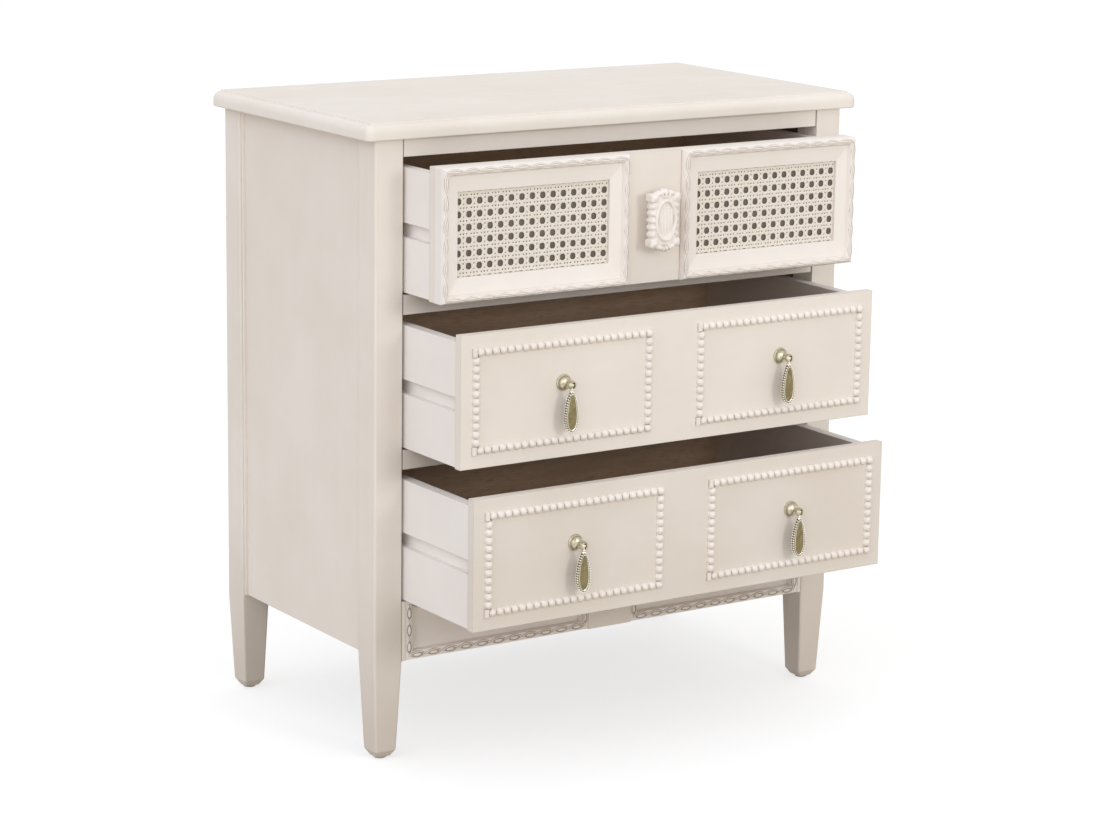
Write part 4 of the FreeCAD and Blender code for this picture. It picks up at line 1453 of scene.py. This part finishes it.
@dataclass
class CarvedKnob:
    """The tall carved cartouche in the middle of the top drawer.

    Its sizes and places are in millimetres, from the middle of the head.
    """

    neck_height: float = 11.0
    neck: Span = (10, 21)
    neck_sunk: float = 3.0
    head: float = 17.0
    body: Span = (18.2, 31.5)
    body_in: float = 2.0
    body_back: float = 0.6
    soft: float = 3.0
    lobes_a_side: int = 5
    lobe_pitch: float = 8.7
    lobe_out: float = 17.0
    lobe: Sizes = (4.7, 8.2, 4.6)
    ear_at: Sizes = (16.5, -0.8, 28.2)
    ear: Sizes = (5.6, 7.4, 5.2)
    ear_soft: float = 2.2
    ear_bud_at: Sizes = (16.2, -7.6, 28.4)
    ear_bud: Sizes = (3.6, 2.2, 3.2)
    shoulder_at: Sizes = (9.9, -2.5, 33.2)
    shoulder: Sizes = (6.0, 6.2, 3.4)
    shoulder_lean: float = 0.32
    crest_at: Sizes = (0, -2.0, 35.2)
    crest: Sizes = (6.4, 6.6, 3.8)
    leaf: Sizes = (1.8, 2.6, 5.4)
    leaf_foot: Span = (-6.6, 27.4)
    leaf_fan: Span = (9.0, 5.0)
    leaf_leans: Sizes = (-0.62, 0, 0.62)
    tip: Sizes = (2.0, 5.8, 4.2)
    tip_level: Span = (-3.4, -34.2)
    tips: tuple[Span, ...] = ((-6.4, 0), (-2.2, 1.6), (2.2, 1.6), (6.4, 0))
    tip_lean: float = 0.05
    ring: Sizes = (14.2, 24.4, 2.2)
    ring_sunk: float = 0.6
    flutes: tuple[Sizes, ...] = ((0, 2.6, 19.5), (-4.9, 2.3, 17.0), (4.9, 2.3, 17.0), (-9.0, 1.8, 12.5),
                                 (9.0, 1.8, 12.5))
    flute_sunk: float = 2.2
    flute_rise: float = 2.0
    voxel: float = 0.6 * MM

    def lump(self, middle: Vector, place: Sequence[float], size: Sequence[float],
             turn: float = 0.0) -> Piece:
        """Round one lump of the carving."""
        return Bench.lump("lump", middle + Vector(place) * MM, mm(*size), 20, 12, turn)

    def slab(self, middle: Vector, half: Sequence[float], place: Sequence[float], soft: float) -> Piece:
        """Cut one block of the carving with soft edges.

        Args:
            middle: Middle of the head.
            half: Half sizes of the block.
            place: Middle of the block, from the middle of the head.
            soft: Width of its soft edges.

        Returns:
            The block.
        """
        centre = middle + Vector(place) * MM
        reach = Vector(half) * MM
        piece = Bench.block("slab", centre - reach, centre + reach)
        Bench.round_edges(piece, Pick.every, soft * MM, 3)
        return piece

    def rim(self, middle: Vector) -> list[Piece]:
        """Round the lobes, ears and leaves along the rim.

        Args:
            middle: Middle of the head.

        Returns:
            The lumps.
        """
        parts = []
        for side in (-1, 1):
            for index in range(self.lobes_a_side):
                height = (index - (self.lobes_a_side - 1) / 2) * self.lobe_pitch
                parts.append(self.lump(middle, (side * self.lobe_out, 0, height), self.lobe))
            for end in (-1, 1):
                ear, bud, shoulder = ((side * x, y, end * z) for x, y, z
                                      in (self.ear_at, self.ear_bud_at, self.shoulder_at))
                parts += [self.slab(middle, self.ear, ear, self.ear_soft),
                          self.lump(middle, bud, self.ear_bud),
                          self.lump(middle, shoulder, self.shoulder, side * end * self.shoulder_lean)]
        parts.append(self.lump(middle, self.crest_at, self.crest))
        (level, foot), (out, up) = self.leaf_foot, self.leaf_fan
        for lean in self.leaf_leans:
            place = (math.sin(lean) * out, level, foot + math.cos(lean) * up)
            parts.append(self.lump(middle, place, self.leaf, lean))
        level, foot = self.tip_level
        for x, drop in self.tips:
            parts.append(self.lump(middle, (x, level, foot - drop), self.tip, -x * self.tip_lean))
        return parts

    def build(self) -> None:
        """Carve the knob: neck, head, rim, oval ring and the fluted bud within."""
        low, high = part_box("carved_knob")
        middle = (low + high) / 2
        front = -self.head / 2
        middle.y = high.y - (self.neck_height - front) * MM
        neck_half = self.neck_height / 2
        sunk = self.neck_sunk
        parts = [self.slab(middle, (self.neck[0], neck_half + sunk, self.neck[1]),
                           (0, neck_half - front - sunk, 0), self.soft),
                 self.slab(middle, (self.body[0], -front - self.body_in, self.body[1]),
                           (0, self.body_back, 0), self.soft),
                 *self.rim(middle)]
        ring = middle + Vector((0, (front + self.ring_sunk) * MM, 0))
        parts.append(Bench.hoop("ring", ring, mm(*self.ring), 48, 12))
        for x, width, height in self.flutes:
            size = (width, self.flute_rise, height)
            parts.append(self.lump(middle, (x, front + self.flute_sunk, 0), size))
        knob = Bench.join(parts, "cartouche_knob")
        Bench.modify(knob, "REMESH", mode="VOXEL", voxel_size=self.voxel)
        Bench.modify(knob, "SMOOTH", factor=0.5, iterations=2)
        Bench.smooth(knob, 80)
        Bench.fit(Palette.KNOB.on(knob), Body.TOP.value, Slot.IVORY, "carved_knob")


@dataclass
class TopDrawerFace:
    """Carved frames, cane and knob on the top drawer."""

    inset: float = 4.7 * MM
    sunk: float = 0.1 * MM
    crown: float = 0.33
    cane_shift: Sizes = mm(-1.0, -0.3, -0.2)

    def build(self) -> None:
        """Carve the bands, weave the cane and carve the knob."""
        for hand in Hand:
            side = hand.value
            node = f"{side}_carved_moulding"
            low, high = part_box(node)
            carving = CarvedChain(crown=self.crown).around(
                low + Vector((self.inset, self.sunk, self.inset)),
                high - Vector((self.inset, 0, self.inset)), f"{side}_band_carving")
            Bench.fit(carving, Body.TOP.value, Slot.IVORY)
            sheet = f"{side}_cane_panel"
            low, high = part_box(sheet)
            woven = WovenCane().sheet(sheet, (low + high) / 2 + Vector(self.cane_shift))
            Bench.fit(woven, Body.TOP.value, Slot.CANE, sheet)
            dress({node: Palette.CARVED, f"{side}_cane_frame": Palette.FRAME})
        dress({"cane_backings": Palette.BACKING, "knob_screw": Palette.STEEL})
        CarvedKnob().build()


@dataclass
class BeadedFrames:
    """The frames of turned beads on one drawer front."""

    body: Body
    width: float = 10.4 * MM
    pitch: float = 10.85 * MM
    upright_pitch: float = 10.1 * MM
    bead_share: float = 0.515
    strip: float = 1.4 * MM
    strip_share: float = 0.8
    corner: float = 4.0 * MM
    soft: float = 0.6 * MM

    def bead(self, rise: float) -> Piece:
        """Round one bead, flat at the back, along X at the origin.

        Args:
            rise: How far it stands out.

        Returns:
            The master bead.
        """
        size = (self.width / 2, rise, self.pitch * self.bead_share)
        bead = Bench.lump("bead", ORIGIN, size, 12, 9, QUARTER)
        with Bench.editing(bead, "FACE", Pick.every):
            bpy.ops.mesh.bisect(plane_co=ORIGIN, plane_no=(0, 1, 0), clear_outer=True)
        return bead

    @staticmethod
    def row(start: float, end: float, pitch: float) -> list[float]:
        """Space beads evenly between two ends, as near to a pitch as they fit."""
        count = round((end - start) / pitch)
        return [start + (index + 0.5) * (end - start) / count for index in range(count)]

    def frame(self, hand: Hand) -> None:
        """Set the rows of one frame on their backing strips.

        Args:
            hand: The half of the front.
        """
        node = f"{self.body.word}_{hand.value}_beading"
        low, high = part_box(node)
        back = high.y
        half = self.width / 2
        thin = half * self.strip_share
        start = low.x + half
        under, over = low.z + self.width, high.z - self.width
        master = self.bead(high.y - low.y)
        places = []
        blocks = []
        for z in (low.z + half, high.z - half):
            places += [at(x, back, z) for x in self.row(start, high.x, self.pitch)]
            blocks += [(low.x, high.x, z - thin, z + thin, self.strip),
                       (low.x, start, z - half, z + half, self.corner)]
        for x in (start, high.x - half):
            places += [at(x, back, z) @ ON_END for z in self.row(under, over, self.upright_pitch)]
            blocks.append((x - thin, x + thin, under, over, self.strip))
        pieces = [Bench.smooth(Bench.copies(master, places, "bead_rows"), 70)]
        for left, right, bottom, top, rise in blocks:
            piece = Bench.block("strip", Vector((left, back - rise, bottom)), Vector((right, back, top)))
            Bench.round_edges(piece, Pick.before(back - 0.5 * MM), self.soft, 2)
            pieces.append(piece)
        beading = Bench.join(pieces, f"{node}_turned")
        Bench.fit(Palette.BEAD.on(beading), self.body.value, Slot.IVORY, node)

    def build(self) -> None:
        """Set both frames."""
        for hand in Hand:
            self.frame(hand)


@dataclass
class DropPulls:
    """Stepped rosettes with slotted balls, and the beaded pear drops that hang from them."""

    body: Body
    sides: int = 32
    steps: tuple[Span, ...] = (
        (10.5, 0.0), (10.5, 1.3), (10.0, 1.9), (9.0, 2.0), (8.7, 1.7), (8.4, 2.0), (8.3, 3.4), (7.8, 4.9),
        (6.8, 6.2), (5.2, 7.1), (3.4, 7.6), (2.8, 8.0), (2.8, 12.6), (3.6, 13.0), (3.6, 13.6))
    ball: float = 5.5 * MM
    ball_angles: range = range(-50, 90, 14)
    standoff: float = 18.0 * MM
    slot: float = 3.6 * MM
    slot_reach: float = 9.0 * MM
    reach: float = 10.5 * MM
    top: float = 8.5 * MM
    length: float = 49.5 * MM
    width: float = 18.2 * MM
    swell: float = 0.30
    swell_width: float = 1.045
    thick: float = 4.4 * MM
    corners: int = 44
    rings: tuple[Sizes, ...] = ((1, 1.4, 0.0), (1, 0.9, 0.5), (2, 0.5, -0.9))
    eye: tuple[Span, ...] = ((2.6, 0), (3.0, 0.4), (3.0, 2.6), (2.6, 3.0))
    neck: float = 1.5 * MM
    neck_sunk: float = 2.5 * MM
    collar: Sizes = mm(2.2, 2.2, 0.9)
    collar_rise: float = 0.6 * MM
    beads: int = 36
    bead: float = 1.1 * MM
    bead_out: float = 0.1 * MM
    bead_in: tuple[float, ...] = mm(0.5, 0.7)

    def rosette(self) -> Piece:
        """Turn the rosette, stem and ball, and slot the ball for the drop.

        Returns:
            The master rosette, standing out along -Y from the origin.
        """
        profile = [mm(*step) for step in self.steps]
        for angle in self.ball_angles:
            turn = math.radians(angle)
            profile.append((self.ball * math.cos(turn), self.standoff + self.ball * math.sin(turn)))
        piece = Bench.turn("rosette", profile, self.sides)
        half = self.slot / 2
        Bench.cut(piece, Vector((-half, -self.standoff - self.slot_reach, -self.slot_reach)),
                  Vector((half, -self.standoff + self.slot, self.slot)))
        return Palette.BRASS.on(Bench.smooth(piece, 35))

    def outline(self, share: float) -> Vector:
        """Give a point of the pear outline.

        Args:
            share: Share of the way round, from the top.

        Returns:
            Across and down places, in metres from the middle of the top.
        """
        turn = 2 * math.pi * share
        swell = (1.0 - self.swell * math.cos(turn)) / self.swell_width
        return Vector((self.width / 2 * math.sin(turn) * swell, -self.length * (1 - math.cos(turn)) / 2))

    def spaced(self, count: int, grow: float, fineness: int = 720) -> list[Vector]:
        """Space points evenly along the outline.

        Args:
            count: Number of points.
            grow: How far outside the outline they stand.
            fineness: Short runs that the outline is measured by.

        Returns:
            Across and down places.
        """
        fine = [self.outline(index / fineness) for index in range(fineness + 1)]
        lengths = [0.0]
        for first, second in pairwise(fine):
            lengths.append(lengths[-1] + (second - first).length)
        points = []
        spot = 0
        for index in range(count):
            while lengths[spot + 1] < lengths[-1] * (index + 0.5) / count:
                spot += 1
            run = (fine[spot + 1] - fine[spot]).normalized()
            points.append(fine[spot] + Vector((-run.y, run.x)) * grow)
        return points

    def plate(self) -> Piece:
        """Cut the pear plate, with a raised rim around a sunk field.

        Returns:
            The plate, with its rim and field in two finishes, hanging below the origin.
        """
        plate = Bench.disc("plate", self.corners, 1)
        for vert, (across, down) in zip(plate.data.vertices, self.spaced(self.corners, 0.0)):
            vert.co = Vector((across, self.thick / 2, down - self.top))
        for finish in (Palette.TARNISH, Palette.RIM, Palette.FIELD):
            plate.data.materials.append(finish.material())
        middle = (0, 0, -self.top - self.length / 2)
        with Bench.editing(plate, "FACE", Pick.every):
            Bench.pull(0, -self.thick, 0)
            for slot, width, rise in self.rings:
                bpy.ops.mesh.inset(thickness=0.02 * MM, depth=rise * MM)
                shrink = (1 - 2 * width * MM / self.width, 1, 1 - 2 * width * MM / self.length)
                bpy.ops.transform.resize(value=shrink, center_override=middle)
                bpy.context.object.active_material_index = slot
                bpy.ops.object.material_slot_assign()
        Bench.face_out(plate)
        return plate

    def drop(self, name: str) -> Piece:
        """Make one drop: eye, neck, plate and two rows of beads.

        Args:
            name: Name of the drop.

        Returns:
            The drop, with its pin at the origin.
        """
        plate = self.plate()
        half = self.neck
        eye = Bench.turn("eye", [mm(*step) for step in self.eye], 24)
        eye.data.transform(at(-half, 0, 0) @ Matrix.Rotation(QUARTER, 4, "Z"))
        neck = Bench.block("neck", Vector((-half, -half, -self.top - self.neck_sunk)),
                           Vector((half, half, -half)))
        Bench.round_edges(neck, Pick.upright, 0.5 * MM, 2)
        collar = Bench.hoop("collar", ORIGIN, self.collar, 20, 8)
        collar.data.transform(at(0, 0, -self.top + self.collar_rise) @ Matrix.Rotation(QUARTER, 4, "X"))
        for piece in (eye, neck, collar):
            Palette.RIM.on(piece)
        bead = Palette.RIM.on(Bench.lump("bead", ORIGIN, (self.bead,) * 3, 8, 6))
        front, rear = self.bead_in
        depths = (-self.thick / 2 + front, self.thick / 2 - rear)
        places = [at(across, depth, down - self.top)
                  for across, down in self.spaced(self.beads, self.bead_out) for depth in depths]
        row = Bench.copies(bead, places, "rim_beads")
        return Bench.smooth(Bench.join([plate, eye, neck, collar, row], name), 40)

    def build(self) -> None:
        """Set two pulls on the drawer."""
        posts = f"{self.body.value}_pull_posts"
        low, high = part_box(posts)
        pivot_y = low.y + self.ball
        middle = (low.z + high.z) / 2
        spots = (low.x + self.reach, high.x - self.reach)
        places = [at(x, pivot_y + self.standoff, middle) for x in spots]
        pulls = Bench.smooth(Bench.copies(self.rosette(), places, f"{posts}_turned"), 35)
        Bench.fit(pulls, self.body.value, Slot.BRASS, posts)
        for hand, x in zip(Hand, spots):
            node = f"{self.body.word}_{hand.value}_drop"
            drop = self.drop(f"{node}_beaded")
            drop.data.transform(at(x, pivot_y, middle))
            Bench.fit(drop, node, Slot.BRASS, node)
        dress({f"{self.body.value}_pull_pins": Palette.BRASS,
               f"{self.body.value}_pull_nuts": Palette.STEEL})


@dataclass(frozen=True)
class SoftSun:
    """A soft distant lamp."""

    name: str
    toward: Sizes
    energy: float
    spread: float
    tint: Colour = (1.0, 1.0, 1.0)
    away: float = 4.0

    def hang(self) -> None:
        """Hang the lamp, looking back at the chest."""
        toward = Vector(self.toward)
        lamp = Bench.lamp("SUN", self.name, toward.normalized() * self.away, toward)
        lamp.energy, lamp.angle, lamp.color = self.energy, math.radians(self.spread), self.tint


@dataclass
class Studio:
    """White ground and soft light from the front, the left and all around."""

    ambient: Span = (0.60, 0.99)
    floor_size: float = 16.0
    floor_seen: float = 0.38
    floor_glow: float = 0.68
    floor_bounce: Colour = (0.48, 0.435, 0.365)
    key_place: Sizes = (0.35, -2.75, 1.30)
    key_aim: Sizes = (0.0, -0.2, 0.60)
    key_size: float = 0.6
    key_power: float = 14.3
    suns: tuple[SoftSun, ...] = (
        SoftSun("left_light", (-1.0, -0.25, 0.5), 0.80, 60, (0.77, 0.82, 1.0)),
        SoftSun("front_fill", (-0.55, -0.83, 0.12), 0.53, 40))

    def world(self) -> None:
        """Light the room: white where it is seen, softer where it only lights, and brighter overhead."""
        world = bpy.data.worlds.new("white_room")
        bpy.context.scene.world = world
        world.use_nodes = True
        graph = Graph(world.node_tree)
        room = world.node_tree.nodes["Background"]
        graph.plug(room.inputs["Color"], (1.0, 1.0, 1.0))
        height = graph.height(graph.add("ShaderNodeTexCoord").outputs["Generated"])
        light = graph.span(height, FULL, self.ambient)
        graph.plug(room.inputs["Strength"], graph.span(graph.seen(), FULL, (light, 1.0)))

    def floor(self) -> None:
        """Lay a plain pale floor."""
        Bench.clear()
        bpy.ops.mesh.primitive_plane_add(size=self.floor_size)
        floor = Bench.settle("pale_floor")
        material = bpy.data.materials.new("pale_floor")
        material.use_nodes = True
        graph = Graph(material.node_tree)
        seen = graph.seen()
        values = {"Base Color": graph.mix(seen, self.floor_bounce, (self.floor_seen,) * 3),
                  "Emission Color": graph.mix(seen, ORIGIN, (self.floor_glow,) * 3),
                  "Emission Strength": 1.0, "Roughness": 1.0, "Specular IOR Level": 0.0}
        for name, value in values.items():
            graph.plug(material.node_tree.nodes["Principled BSDF"].inputs[name], value)
        floor.data.materials.append(material)

    def key(self) -> None:
        """Hang the soft square lamp in front, near enough to fade toward the feet."""
        place = Vector(self.key_place)
        lamp = Bench.lamp("AREA", "front_right_light", place, place - Vector(self.key_aim))
        lamp.shape, lamp.size, lamp.energy = "SQUARE", self.key_size, self.key_power

    def build(self) -> None:
        """Set the room, the floor and the lamps."""
        self.world()
        self.floor()
        self.key()
        for sun in self.suns:
            sun.hang()
        bpy.context.scene.view_settings.view_transform = "Standard"
        LOG.info("studio set")


@dataclass
class PhotoCamera:
    """The camera at the photograph's place."""

    place: Sizes = (-2.2517, -3.3470, 1.2821)
    azimuth: float = -33.60
    elevation: float = 12.49
    roll: float = 0.82
    lens: float = 103.65
    sensor: float = 36
    far: float = 60

    def build(self) -> None:
        """Set the camera and make it the scene's own."""
        turn, rise, roll = (math.radians(angle) for angle in (self.azimuth, self.elevation, self.roll))
        level = math.cos(rise)
        ahead = Vector((-math.sin(turn) * level, math.cos(turn) * level, -math.sin(rise)))
        right = ahead.cross(Vector((0, 0, 1))).normalized()
        up = right.cross(ahead)
        tilted = right * math.cos(roll) + up * math.sin(roll)
        upward = up * math.cos(roll) - right * math.sin(roll)
        matrix = Matrix((tilted, upward, -ahead)).transposed().to_4x4()
        matrix.translation = self.place
        Bench.clear()
        bpy.ops.object.camera_add()
        camera = bpy.context.object
        camera.name = "photo_camera"
        camera.matrix_world = matrix
        camera.data.sensor_width = self.sensor
        camera.data.lens = self.lens
        camera.data.clip_end = self.far
        bpy.context.scene.camera = camera
        LOG.info("camera set")


def main() -> None:
    """Build every piece in order and report it."""
    logging.basicConfig(level=logging.INFO, format="%(name)s: %(message)s")
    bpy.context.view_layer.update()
    EffectKit().make_all()
    PhotoCamera().build()
    Studio().build()
    Carcass().build()
    Apron().build()
    for body in (Body.TOP, Body.MIDDLE, Body.LOWER):
        DrawerBox(body).build()
    TopDrawerFace().build()
    for body in (Body.MIDDLE, Body.LOWER):
        BeadedFrames(body).build()
        DropPulls(body).build()
    LOG.info("done")


if __name__ == "__main__":
    main()
